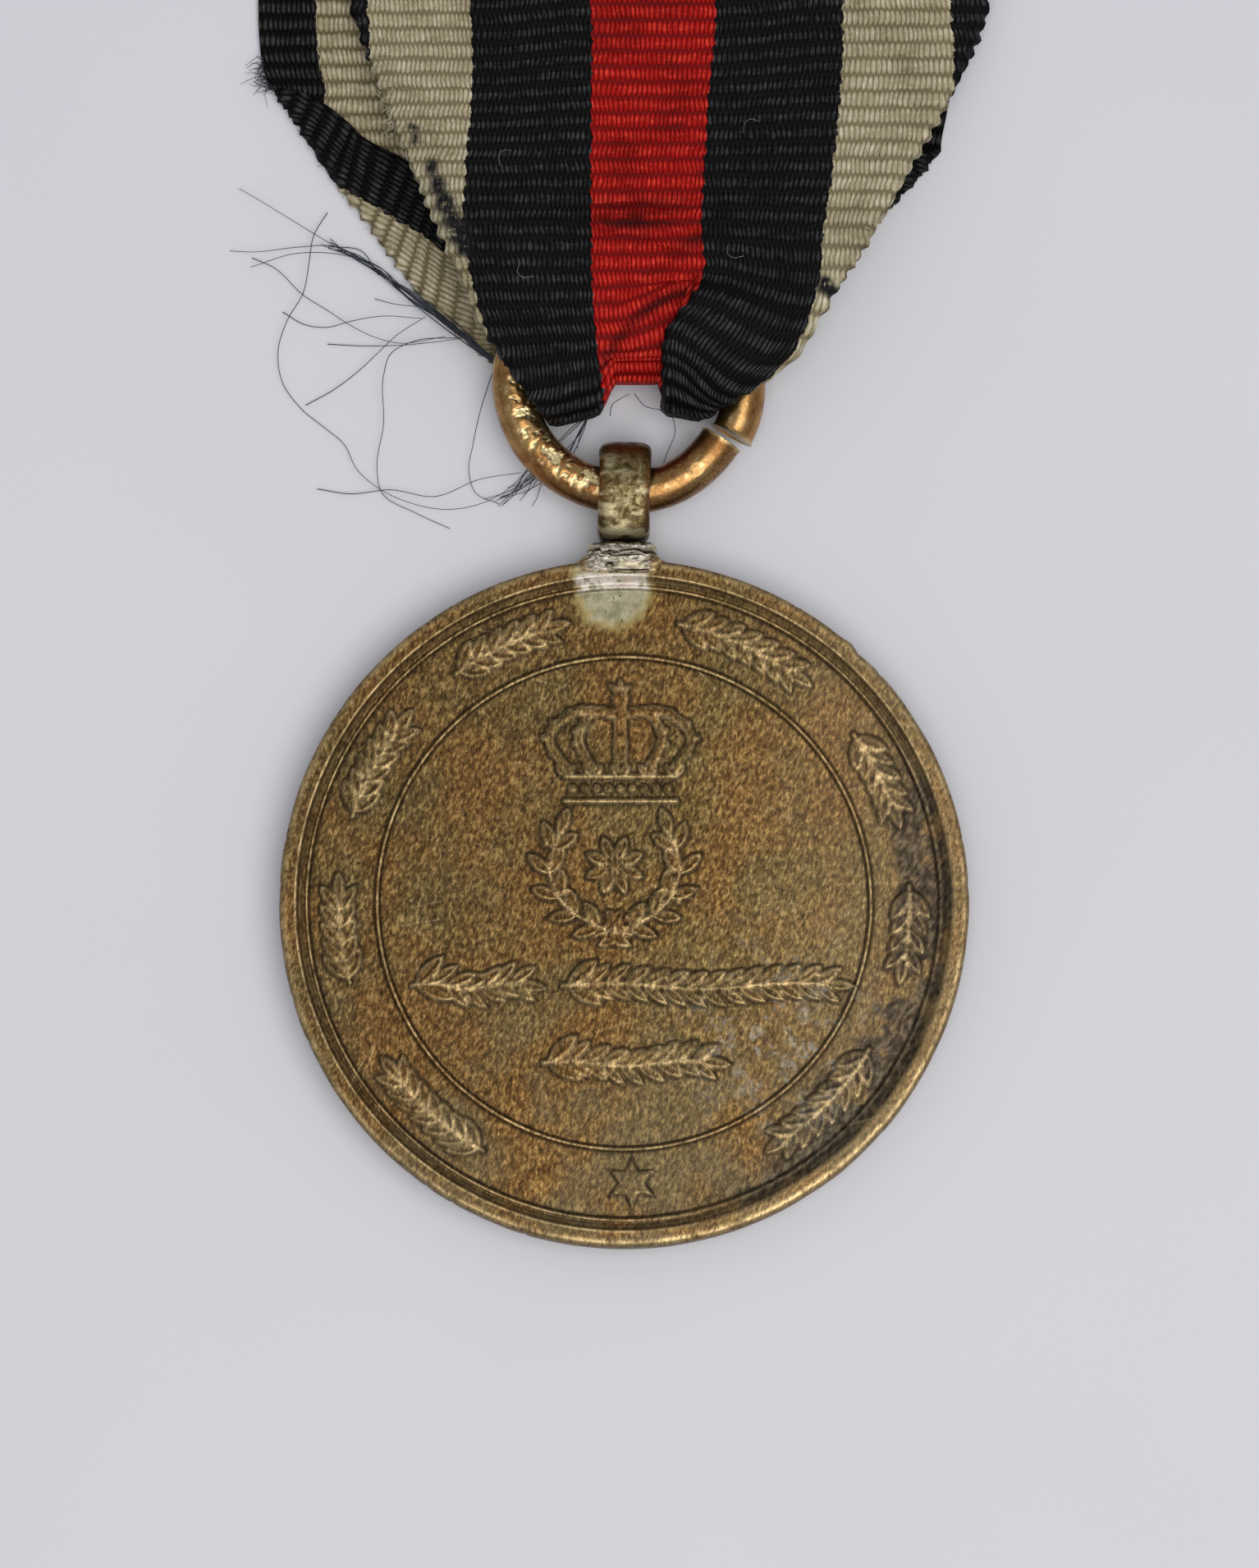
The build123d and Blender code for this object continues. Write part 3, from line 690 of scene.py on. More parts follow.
STATIONS = [
    station(RIBBON_TOP, 0.62, -16.2, -2.35, 2.85, 16.7),
    station(62.0, 0.62, -16.2, -2.35, 2.85, 16.7),
    station(52.0, 0.66, -15.6, -2.1, 3.2, 16.8),
    station(46.0, 0.85, -13.7, -1.8, 3.6, 16.7, 0.3, 30.8, fan=-0.3, sag=0.25),
    station(41.5, 1.10, -12.4, -1.55, 3.85, 16.0, 1.3, 29.8, fan=-0.45, sag=0.4),
    station(38.0, 1.30, -11.5, -1.42, 3.97, 15.42, 1.9, 29.2, fan=-0.45, sag=0.4),
    station(34.6, 1.95, -10.3, -1.40, 3.68, 14.0, 3.1, 27.7, fan=-0.3, sag=0.3),
    station(31.1, 2.75, -8.95, -1.42, 3.45, 12.07, 4.8, 26.2, fan=0.0, sag=0.1, crease=0.3),
    station(28.0, 3.32, -7.65, -1.40, 3.34, 10.35, 6.1, 24.9, fan=0.35, crease=1.0),
    station(26.4, 3.52, -6.95, -1.38, 3.40, 9.35, 6.5, 23.8, pleat=0.05, fan=0.9, crease=0.6),
    station(25.2, 3.62, -6.45, -1.35, 2.84, 8.6, 6.7, 23.4, pleat=0.45, fan=1.4, sag=0.1),
    station(23.9, 3.66, -5.8, -1.22, 1.85, 7.85, 6.95, 23.3, pleat=1.1, fan=1.9, sag=0.2),
    station(22.6, 3.58, -4.85, -1.10, 1.69, 6.95, 7.9, 22.7, pleat=1.3, fan=1.6, sag=0.3),
    station(21.6, 3.30, -3.95, -1.03, 1.69, 5.6, 9.1, 21.4, pleat=1.15, fan=1.0, sag=0.2),
    station(20.95, 2.65, -3.4, -1.00, 1.69, 4.3, 9.6, 20.1, pleat=1.1, fan=0.3),
    station(20.85, 1.85, -3.2, -1.00, 1.69, 3.5, 9.75, 19.3, pleat=1.1),
    station(21.05, 1.10, -3.2, -1.00, 1.69, 3.5, 9.6, 19.5, pleat=1.0),
    station(21.7, 0.50, -3.8, -1.05, 1.6, 4.1, 8.6, 20.4, pleat=0.8),
    station(22.9, 0.22, -5.3, -1.3, 2.2, 5.4, 6.6, 21.8, pleat=0.3),
    station(24.6, 0.17, -7.3, -1.5, 2.9, 7.1, 5.3, 23.6),
    station(26.2, 0.17, -8.8, -1.9, 2.9, 8.5, 4.7, 24.9),
    station(28.0, 0.17, -10.15, -2.15, 2.85, 9.9, 3.8, 26.0),
    station(29.2, 0.18, -11.0, -2.3, 2.8, 10.8, 3.2, 27.0),
    station(31.0, 0.18, -12.4, -2.6, 2.7, 12.4, 2.4, 28.6),
    station(32.6, 0.18, -13.45, -2.9, 2.5, 13.8, 1.8, 30.2),
    station(34.0, 0.18, -14.4, -3.05, 2.35, 15.0, 0.9, 31.2),
    station(35.0, 0.18, -15.15, -3.15, 2.2, 15.4, 0.0),
    station(36.0, 0.18, -16.45, -3.2, 2.1, 15.6, -1.0),
    station(38.0, 0.18, -17.1, -3.25, 2.0, 15.8),
    station(44.0, 0.18, -17.0, -3.15, 2.05, 16.0),
    station(56.0, 0.18, -16.4, -2.5, 2.7, 16.6),
    station(RIBBON_TOP, 0.18, -16.2, -2.35, 2.85, 16.7),
]
LAYER = 0.33                   # from the middle of one layer of cloth to the next
PLEAT_LAYER = 0.36
CLOTH_POINTS = 599             # points across, where the folds are worked out
CLOTH_COLUMNS = 116            # points across the mesh
PLEAT_U = 17.7                 # the pleat's edge, near the end of the red stripe
RED_RISE, LEFT_DROP, RIGHT_LIFT, LOBE_RISE = 1.3, 0.55, 0.10, 0.62


def along_curve(table, knots, at):
    """The ribbon's middle line and its inward normal, at distances along it."""
    at = np.clip(at, 0, knots[-1])
    y, z = through(knots, table[:, 0], at), through(knots, table[:, 1], at)
    y_next, z_next = through(knots, table[:, 0], at + 0.05), through(knots, table[:, 1], at + 0.05)
    length = np.maximum(np.hypot(y_next - y, z_next - z), 1e-6)
    return y, z, -(z_next - z) / length, (y_next - y) / length


def turned_flap(distance, width, lean, side):
    """Where cloth past a fold lies: across, and along the ribbon, from the fold.
    It is mirrored in the slanted fold, and turns back where the ribbon is too narrow for it."""
    distance = width - np.sqrt((width - distance) ** 2 + 0.03)
    return -side * distance * np.cos(2 * lean), side * distance * np.sin(2 * lean)


class Course:
    """The ribbon's course: the stations' values, read at any distance along it."""

    def __init__(self):
        table = np.array(STATIONS)
        self.table = table
        self.knots = np.concatenate([[0], np.cumsum(np.hypot(np.diff(table[:, 0]), np.diff(table[:, 1])))])
        self.bight = self.knots[np.argmin(table[:, 0])]

    def field(self, index, at):
        return through(self.knots, self.table[:, index], np.clip(at, 0, self.knots[-1]))


def reach_at(reach, step, place):
    """How far across the ribbon one place of the cloth lies, in every row."""
    index = np.clip(np.round(place / step).astype(int), 0, reach.shape[1] - 1)
    inside = np.take_along_axis(reach, index * np.ones((len(reach), 1), int), 1)
    return inside + np.minimum(place, 0) + np.maximum(place - RIBBON_WIDTH, 0)


def spread_across(u, pleat_start, pleat, sides, folds):
    """X of each point of the cloth, spread evenly between the folded sides and the red stripe's sides,
    with the pleat folded back on itself."""
    left, red, red_end, right = sides
    step = u[0, 1] - u[0, 0]
    folded_back = np.tanh((u - pleat_start) / 0.12) - np.tanh((u - PLEAT_U) / 0.12)
    slope = 1 - folded_back * smooth(0.03, 0.25, pleat)
    reach = np.cumsum(slope, axis=1) * step
    red_start, pleat_end = (reach_at(reach, step, np.array(place)) for place in (RED_LEFT, PLEAT_U))
    first, last = (reach_at(reach, step, fold) for fold in folds)
    from_red, to_end = reach - red_start, pleat_end - red_start
    x_left = red + from_red * (red - left) / (red_start - first)
    x_middle = red + from_red * (red_end - red) / to_end
    x_right = red_end + (from_red - to_end) * (right - red_end) / (last - pleat_end)
    return np.where(u < RED_LEFT, x_left, np.where(u < PLEAT_U, x_middle, x_right))


def layers_under(u, x, folds, past, room, left):
    """How far each point lies under the front layer, where the sides are folded behind."""
    fold_left, fold_right = folds
    past_left, past_right = past
    depth = LAYER * 0.5 * (1 - np.tanh((u - fold_left) / FOLD_RADIUS))
    depth = depth + LAYER * 0.5 * (1 + np.tanh((u - fold_right) / FOLD_RADIUS))
    depth = depth + LAYER * (smooth(-0.2, 0.2, past_left - room) + smooth(-0.2, 0.2, past_right - room))
    left_reach = left + np.minimum(np.maximum(fold_left, 0), room)
    return depth + LAYER * smooth(0.3, -0.3, x - left_reach) * smooth(0.0, 0.4, past_right)


def pleat_stack(u, pleat_start, behind):
    """How many layers the pleat lifts the cloth by. Behind, the other layers lift instead."""
    over = 0.5 * (1 + np.tanh((u - pleat_start) / 0.14)) + 0.5 * (1 + np.tanh((u - PLEAT_U) / 0.14))
    settle = np.exp(-np.maximum(u - PLEAT_U, 0) / 3.2)
    lifted = np.exp(-np.maximum(pleat_start - u, 0) / 4.0)
    return over * settle * (1 - behind) + (over - 2) * lifted * behind


def bight_outline(u, x, past_right):
    """How far the bight's lower edge rises and drops across the ring's hole."""
    lobe = smooth(PLEAT_U - 0.35, PLEAT_U - 0.05, u) * smooth(0.2, 0.0, past_right)
    lobe_rise = LOBE_RISE * smooth(3.7, 1.6, x) ** 1.2
    hidden = smooth(1.5, 1.9, x)
    rise = RED_RISE * smooth(-1.22, -0.38, x) * (1 - hidden) + (lobe_rise + 0.15) * hidden
    drop = LEFT_DROP * np.clip((-0.84 - x) / 2.2, 0, 1) - RIGHT_LIFT * smooth(1.7, 2.9, x)
    return rise * (1 - lobe) + lobe_rise * lobe - drop


def creases(u, at, y, z, crease):
    """Slow waves of the cloth, less the old creases across its middle."""
    waves = 0.14 * (noise2(u * 0.16 + 5, at * 0.14 + 2, 81) - 0.5) * smooth(0.5, 1.2, z)
    upper_line = 29.35 + 0.25 * np.sin(u * 0.55)
    lower_line = 27.9 - 0.25 * (u - 15)
    z = z + waves - 0.24 * crease * bell(y, upper_line, 0.25) * bell(u, 14, 3.6)
    return z - 0.16 * crease * bell(y, lower_line, 0.22) * bell(u, 15.5, 2.0)


def ribbon_surface():
    """The middle of the cloth: points by row and column, and how far along and across each is."""
    course = Course()
    bight = course.bight
    along = np.arange(0, course.knots[-1], RIB_PITCH / 6)[:, None]
    red, red_end, fold_left, fold_right, pleat, fan, sag, crease = (
        course.field(index, along) for index in (3, 4, 6, 7, 8, 9, 10, 11))
    pleat = np.maximum(pleat, 0)
    left, right = course.field(2, along + sag), course.field(5, along + fan)
    lean_left = np.arctan((course.field(2, along + sag + 0.3) - left) / 0.3) * (fold_left > 0)
    lean_right = np.arctan((course.field(5, along + fan + 0.3) - right) / 0.3) * (fold_right < RIBBON_WIDTH)
    lean_left, lean_right = np.clip(lean_left, -0.7, 0.7), np.clip(lean_right, -0.7, 0.7)

    u = np.linspace(0, RIBBON_WIDTH, CLOTH_POINTS)[None, :]
    pleat_start = PLEAT_U - pleat
    folds = (fold_left, fold_right)
    x = spread_across(u, pleat_start, pleat, (left, red, red_end, right), folds)
    past_left, past_right = np.maximum(fold_left - u, 0), np.maximum(u - fold_right, 0)
    room = right - left - 0.5
    left_x, left_s = turned_flap(past_left, room, lean_left, -1)
    right_x, right_s = turned_flap(past_right, room, lean_right, 1)
    x = np.where(u < fold_left, left + left_x, np.where(u > fold_right, right + right_x, x))

    gathered = 1.2 * bell(course.field(0, along), 24.7, 1.9) * smooth(0.0, 0.5, pleat) * (along < bight)
    tuck = np.maximum(pleat, 0.3)
    at = along + fan * smooth(PLEAT_U, 22.5, u) + sag * smooth(RED_LEFT, 7.5, u)
    at = at - gathered * smooth(RED_LEFT + 0.8, PLEAT_U - tuck, u) * smooth(PLEAT_U, PLEAT_U - tuck, u)
    at = at + np.where(u < fold_left, left_s, 0) + np.where(u > fold_right, right_s, 0)

    y, z, inward_y, inward_z = along_curve(course.table, course.knots, at)
    depth = layers_under(u, x, folds, (past_left, past_right), room, left)
    stacked = pleat_stack(u, pleat_start, smooth(bight, bight + 3, along))
    depth = depth - PLEAT_LAYER * smooth(0.0, 0.4, pleat) * stacked
    y, z = y + inward_y * depth, z + inward_z * depth
    y = y + smooth(3.6, 1.4, np.abs(at - bight)) * bight_outline(u, x, past_right)
    z = creases(u, at, y, z, crease)
    x = x + 0.06 * (noise2(along * 1.4, 0 * along + 3, 83) - 0.5)
    z = np.maximum(z, HALF_CLOTH + RIB_SWELL / 2)
    columns = np.linspace(0, u.shape[1] - 1, CLOTH_COLUMNS).round().astype(int)
    return np.stack([x, y, z], -1)[:, columns], along[:, 0], u[0, columns]


def surface_normals(points):
    """Unit normals of the cloth, outward on its front."""
    down = np.gradient(points, axis=0)
    side = np.gradient(points, axis=1)
    normal = np.cross(side, -down)
    return normal / np.maximum(np.linalg.norm(normal, axis=2, keepdims=True), 1e-9)


# ink stains: middle and reach
STAINS = [
    (-8.95, 32.9, 0.22), (-8.85, 32.35, 0.26), (-8.1, 31.1, 0.34), (-7.85, 30.3, 0.42), (-7.55, 29.5, 0.5),
    (-7.25, 28.8, 0.52), (-6.95, 28.2, 0.5), (-6.75, 27.6, 0.36), (8.45, 26.0, 0.36), (8.7, 25.7, 0.3)]


def ribbon_marks(points):
    """Ink stains and soot on the cloth, painted shade over its back layer, and the painted shade in its
    folds, for each point.
    """
    count = points.shape[0] * points.shape[1]
    px, py = points[..., 0].ravel(), points[..., 1].ravel()
    on_front = (np.arange(count) // points.shape[1]) < np.argmin(points[:, points.shape[1] // 2, 1])
    smear = fractal(px * 2.1, py * 0.9, 91)
    ink = np.zeros(count)
    for stain_x, stain_y, reach in STAINS:
        away = np.hypot(px - stain_x, (py - stain_y) * 0.8) / reach
        ink = np.maximum(ink, smooth(1.25, 0.55, away + 0.5 * (smear - 0.5)))
    soot_and_shade = smooth(0.45, 0.8, fractal(px * 0.5, py * 0.35, 93)) * on_front
    soot_and_shade = soot_and_shade + 0.9 * bell(px, -9.6, 1.3) * smooth(31.5, 34.0, py) * smear
    # Painted shade: the whole back layer, lying under the front, is darkened.
    soot_and_shade = np.clip(soot_and_shade + 0.75 * (1 - on_front), 0, 1)
    wrinkled = smooth(0.30, 0.50, fractal(px * 0.9, py * 4.5, 95))
    slanted = 25.6 + 0.45 * (px - 1.2)
    diagonal = 25.7 - 3.0 * (np.clip(3.3 - px, 0, 4.6) / 4.2) ** 2.2
    fold = wrinkled * (bell(py, 28.75, 0.45) + 0.7 * bell(py, 29.6, 0.3)) * bell(px, 0.7, 2.6)
    fold = fold + 0.8 * bell(py, slanted + 1.5, 0.35) * bell(px, 3.0, 1.1)
    fold = fold + 0.3 * bell(py, slanted + 0.9, 0.25) * smooth(-1.4, 1.0, px) * smooth(3.4, 2.6, px)
    shade = 0.85 * bell(py, diagonal, 0.36) * smooth(-1.35, -0.8, px) * smooth(3.5, 2.9, px)
    fold = np.maximum(fold, shade) * on_front
    return {"ink": ink * on_front, "soot_and_shade": soot_and_shade, "fold": np.clip(fold, 0, 1)}


def build_ribbon():
    """The ribbon as one closed piece of ribbed cloth, from its top down the front and up the back."""
    points, along, across = ribbon_surface()
    rows, columns = points.shape[:2]
    normal = surface_normals(points)
    rib = 0.5 + 0.5 * np.cos(TAU * along / RIB_PITCH)
    thick = (HALF_CLOTH + RIB_SWELL * (rib - 0.5))[:, None] * np.ones(columns)[None, :]
    edge = np.minimum(across, RIBBON_WIDTH - across)[None, :]
    thick = thick * (0.55 + 0.45 * smooth(0, 0.4, edge))
    front = points + normal * thick[..., None]
    back = points - normal * thick[..., None]
    count = rows * columns
    front_faces = grid_faces(rows, columns)
    rim = np.concatenate([
        np.arange(columns), (np.arange(rows) * columns + columns - 1)[1:],
        ((rows - 1) * columns + np.arange(columns))[::-1][1:], (np.arange(rows) * columns)[::-1][1:-1]])
    nxt = np.roll(rim, -1)
    walls = np.stack([rim, nxt, nxt + count, rim + count], -1)
    marks = {key: np.tile(value, 2) for key, value in ribbon_marks(points).items()}
    uv = np.stack([np.tile(across, rows), np.repeat(along, columns)], -1)
    cloth = make_mesh(
        "ribbon_cloth", np.concatenate([front.reshape(-1, 3), back.reshape(-1, 3)]),
        [front_faces, front_faces[:, ::-1] + count, walls[:, ::-1]], marks, uv=np.tile(uv, (2, 1)))
    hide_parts("ribbon_bight", "ribbon_front_lower", "ribbon_back_lower",
                "ribbon_front_upper", "ribbon_back_upper")
    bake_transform(cloth)
    return cloth, points, along, across


# ------------------------------------------------------------------ loose threads and stitches
def tubes(name, routes, sides=6):
    """One mesh of tapering tubes. Each route is (points, radius at its start, radius at its end)."""
    points, faces, first = [], [], 0
    for route, start_radius, end_radius in routes:
        route = np.asarray(route, float)
        knots = np.concatenate([[0], np.cumsum(np.linalg.norm(np.diff(route, axis=0), axis=1))])
        count = max(4, int(knots[-1] / 0.16))
        at = np.linspace(0, knots[-1], count)
        path = np.stack([through(knots, route[:, axis], at) for axis in range(3)], -1)
        ahead = np.gradient(path, axis=0)
        ahead = ahead / np.maximum(np.linalg.norm(ahead, axis=1, keepdims=True), 1e-9)
        aside = np.cross(ahead, (0.31, 0.17, 0.93))
        aside = aside / np.maximum(np.linalg.norm(aside, axis=1, keepdims=True), 1e-9)
        above = np.cross(ahead, aside)
        radius = np.linspace(start_radius, end_radius, count)[:, None, None]
        turn = (TAU * np.arange(sides) / sides)[None, :, None]
        ring = path[:, None] + radius * (np.cos(turn) * aside[:, None] + np.sin(turn) * above[:, None])
        points.append(ring.reshape(-1, 3))
        faces.append(grid_faces(count, sides, False, True, first=first))
        for cap in (np.arange(sides)[::-1], (count - 1) * sides + np.arange(sides)):
            faces.append(np.stack([cap[[0] * (sides - 2)], cap[1:-1], cap[2:]], -1) + first)
        first += count * sides
    blocks = [np.concatenate([f for f in faces if f.shape[1] == size]) for size in (4, 3)]
    return make_mesh(name, np.concatenate(points), blocks)


HAIR = 0.02
BUNDLE = [(-5.3, 22.9, 1.3), (-7.55, 24.82, 0.75), (-9.22, 26.15, 0.5), (-10.34, 27.05, 0.36),
          (-11.32, 27.75, 0.28), (-12.43, 28.24, 0.24)]
LOOSE_HAIRS = [
    [(-10.34, 27.05, .4), (-12.43, 28.24, .35), (-14.25, 29.36, .5), (-15.92, 30.4, .4), (-16.4, 30.66, .25)],
    [(-10.34, 27.02, .4), (-12.43, 28.24, .3), (-13.83, 28.17, .3), (-15.9, 27.92, .4), (-16.82, 27.97, .2)],
    [(-9.3, 26.2, .5), (-11.24, 27.51, .5), (-13.95, 27.85, .7), (-15.89, 27.32, .25)],
    [(-15.79, 27.71, .15), (-14.92, 27.32, .3), (-13.56, 26.06, .3), (-12.59, 25.38, .3), (-11.72, 24.8, .4),
     (-10.85, 24.32, .5), (-9.69, 23.98, .6), (-7.56, 24.2, .7)],
    [(-12.69, 29.6, .2), (-13.18, 28.58, .4), (-13.42, 27.51, .5), (-13.66, 26.16, .5), (-14.34, 25.0, .4),
     (-14.67, 23.71, .3), (-14.53, 22.45, .2), (-13.69, 21.19, .15), (-12.71, 20.36, .15),
     (-11.88, 19.66, .2), (-11.32, 18.54, .3), (-10.34, 17.7, .4), (-9.22, 17.15, .5),
     (-7.55, 16.87, .5), (-6.29, 17.0, .6),
     (-5.04, 17.56, .8), (-4.2, 18.33, 1.0)],
    [(-6.99, 24.12, .9), (-8.95, 23.99, .8), (-9.92, 23.43, .7), (-10.2, 22.59, .6), (-10.27, 20.5, .4),
     (-10.55, 18.68, .3), (-10.34, 17.7, .2), (-8.81, 16.73, .15), (-7.41, 16.1, .1)],
    [(-5.59, 22.59, 1.2), (-6.15, 20.91, .8), (-6.43, 19.66, .5), (-6.6, 18.54, .3), (-6.29, 17.56, .2),
     (-5.31, 17.14, .15)],
    [(-13.13, 17.77, .1), (-11.74, 17.56, .15), (-9.92, 17.7, .3), (-8.11, 17.42, .4), (-6.15, 18.12, .5),
     (-4.34, 18.47, .7)],
    [(-12.64, 23.99, .1), (-11.04, 23.85, .2), (-9.36, 23.92, .4), (-6.99, 24.12, .8)],
    [(-13.55, 21.4, .1), (-12.3, 22.03, .2), (-11.18, 22.87, .3), (-10.34, 23.71, .4), (-9.78, 24.27, .5),
     (-8.39, 25.1, .6)],
    [(-10.62, 25.87, .3), (-9.78, 25.66, .4), (-8.81, 25.52, .5)],
    [(-14.53, 25.38, .1), (-13.55, 24.82, .2), (-12.57, 24.68, .3), (-11.74, 24.89, .4), (-10.34, 25.1, .5),
     (-8.53, 25.03, .6)],
    [(1.8, 21.3, 1.6), (2.18, 20.08, .9), (1.87, 19.24, .5), (1.59, 18.54, .25)],
    [(-0.57, 20.77, 1.2), (-0.5, 21.2, 1.0), (0.27, 21.75, .9)],
    [(0.48, 21.68, 1.0), (0.83, 21.26, .9), (1.69, 21.05, 1.0)],
]


def build_frayed_threads():
    """Dark silk frayed off the ribbon's edge: a bundle that fans out over the floor, and two tassels."""
    rng = np.random.default_rng(301)
    routes = []
    for strand in range(15):
        keep = 6 if strand < 6 else rng.integers(3, 6)
        spread = np.linspace(0.07, 0.16, keep)[:, None] * rng.normal(size=(keep, 3)) * (1, 1, 0.4)
        routes.append((np.array(BUNDLE[:keep]) + spread, 0.034, 0.018))
    for hair in LOOSE_HAIRS:
        hair = np.array(hair)
        wave = rng.normal(scale=0.03, size=hair.shape) * (1, 1, 0.5)
        routes.append((hair + wave, HAIR, HAIR * 0.7))
    for strand in range(12):
        end = np.array([-5.2, 17.3, 0.15]) + rng.normal(size=3) * (0.9, 0.35, 0.05)
        under = np.array([-3.9, 18.3, 0.2]) + rng.normal(size=3) * (0.2, 0.2, 0.05)
        route = [(-2.9, 19.2, 0.35), under, (under + end) / 2 + (0, -0.15, 0.1), end]
        routes.append((route, HAIR, HAIR * 0.6))
    for strand in range(8):
        tip = np.array([-2.6, 19.2, 0.9]) + rng.normal(size=3) * (0.35, 0.45, 0.2)
        root = np.array([-1.5, 20.75, 1.6])
        middle = (root + tip) / 2 + rng.normal(size=3) * (0.12, 0.12, 0.1)
        routes.append(([root, middle, tip], 0.026, 0.014))
    over_floor = (-99, -99, 0.06)
    routes = [(np.maximum(np.asarray(route), over_floor), start, end) for route, start, end in routes]
    threads = tubes("frayed_threads", routes)
    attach(threads, "ribbon_lower")
    return threads


def row_at(points, y, front):
    """The row where the ribbon's middle passes y, on its front or on its back."""
    middle = points[:, points.shape[1] // 2, 1]
    turn = int(np.argmin(middle))
    if front:
        return int(np.argmin(np.abs(middle[:turn] - y)))
    return turn + int(np.argmin(np.abs(middle[turn:] - y)))


def hairs_along(points, stretch, column, count, seed, reach, outward):
    """Short curled hairs that start on one column of the ribbon.
    The stretch is two heights in Y, and whether it is the ribbon's front."""
    y1, y2, front = stretch
    first, last = sorted((row_at(points, y1, front), row_at(points, y2, front)))
    rng = np.random.default_rng(seed)
    routes = []
    for _ in range(count):
        row = int(rng.integers(first, last + 1))
        root = points[row, column]
        length = rng.uniform(0.3, 1.0) * reach
        turn = rng.uniform(-0.9, 0.9)
        heading = np.array([
            outward[0] * math.cos(turn) - outward[1] * math.sin(turn),
            outward[0] * math.sin(turn) + outward[1] * math.cos(turn), rng.uniform(-0.2, 0.5)])
        bend = rng.normal(scale=0.25, size=3) * length
        tip = root + heading * length + bend
        middle = root + heading * length * 0.5 - bend * 0.4
        route = np.maximum([root, middle, tip], (-99, -99, 0.05))
        routes.append((route, 0.017, 0.009))
    return routes


def build_fuzz(points, across):
    """Short hairs along worn edges: pale ones on the front's sides, dark ones at the back's corner."""
    def column(u):
        return int(np.argmin(np.abs(across - u)))

    pale = hairs_along(points, (30.5, 36.2, True), column(3.6), 34, 311, 0.8, (-1.0, -0.2))
    pale += hairs_along(points, (24.0, 30.0, True), column(24.8), 12, 312, 0.5, (1.0, -0.2))
    pale += hairs_along(points, (27.0, 33.0, False), column(3.2), 12, 313, 0.5, (-1.0, -0.3))
    ivory = tubes("ivory_fuzz", pale)
    dark = hairs_along(points, (33.4, 36.2, False), column(0.1), 40, 314, 0.6, (-1.0, -0.3))
    dark += hairs_along(points, (34.4, 35.6, False), column(0.1), 16, 315, 1.0, (-1.0, 0.25))
    dark += hairs_along(points, (29.0, 34.0, False), column(1.8), 12, 316, 0.5, (-0.8, -0.6))
    black = tubes("black_fuzz", dark)
    for piece in (ivory, black):
        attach(piece, "ribbon_lower")
    return ivory, black


def build_upper_fuzz(points, across):
    """Hairs on the part of the ribbon that stays above the bend."""
    folded_side = int(np.argmin(np.abs(across - 1.0)))
    pale = hairs_along(points, (41.6, 46.0, True), folded_side, 40, 321, 0.9, (-1.0, -0.1))
    pale += hairs_along(points, (46.0, 60.0, True), 1, 30, 322, 0.5, (-1.0, 0.0))
    pale += hairs_along(points, (42.0, 60.0, True), len(across) - 2, 30, 323, 0.4, (1.0, 0.0))
    fuzz = tubes("upper_fuzz", pale)
    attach(fuzz, "ribbon_upper")
    return fuzz


def build_lint():
    """A few pale fibres caught on the dark silk."""
    rng = np.random.default_rng(331)
    routes = []
    for x, y, z in ((-5.0, 31.6, 3.0), (5.4, 33.0, 2.6), (4.6, 27.4, 3.9), (-4.2, 26.6, 3.9)):
        turn = rng.uniform(0, math.pi)
        ahead = np.array([math.cos(turn), math.sin(turn), 0.0])
        bend = np.array([-ahead[1], ahead[0], 0.0]) * rng.uniform(0.2, 0.4)
        start = np.array([x, y, z])
        routes.append(([start - ahead * 0.5, start - ahead * 0.1 + bend, start + ahead * 0.2 + bend * 0.7,
                        start + ahead * 0.3 - bend * 0.4], 0.008, 0.006))
    lint = tubes("pale_lint", routes)
    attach(lint, "ribbon_lower")
    return lint


def build_stitches():
    """A row of thread bars over the front layer, each with its legs down through both layers."""
    low, high = box_mm("ribbon_stitches")
    count, length, radius = 9, 1.9, 0.13
    y = (low[1] + high[1]) / 2
    top, bottom = high[2] - radius, low[2] + 0.1
    rng = np.random.default_rng(341)
    routes = []
    for index in range(count):
        pitch = (high[0] - low[0] - length) / (count - 1)
        centre = (low[0] + high[0]) / 2 + (index - (count - 1) / 2) * pitch
        for strand in (-1, 1):
            lean, lift = rng.uniform(-0.05, 0.05), strand * 0.055
            half = length / 2 - radius
            path = [(centre - half, y + lift, bottom), (centre - half, y + lift, top - 0.25),
                    (centre - half * 0.8, y + lift, top - 0.03), (centre, y + lift + lean, top),
                    (centre + half * 0.8, y + lift, top - 0.03), (centre + half, y + lift, top - 0.25),
                    (centre + half, y + lift, bottom)]
            routes.append((path, 0.072, 0.072))
    stitches = tubes("ribbon_stitch_row", routes, sides=10)
    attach(stitches, "ribbon_upper")
    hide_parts("ribbon_stitches")
    return stitches


# ------------------------------------------------------------------ shaders
def srgb(red, green, blue):
    """A colour on the usual 0 to 255 scale, as linear light."""
    def linear(level):
        return ((level / 255 + 0.055) / 1.055) ** 2.4 if level > 10 else level / 255 / 12.92

    return (linear(red), linear(green), linear(blue), 1.0)


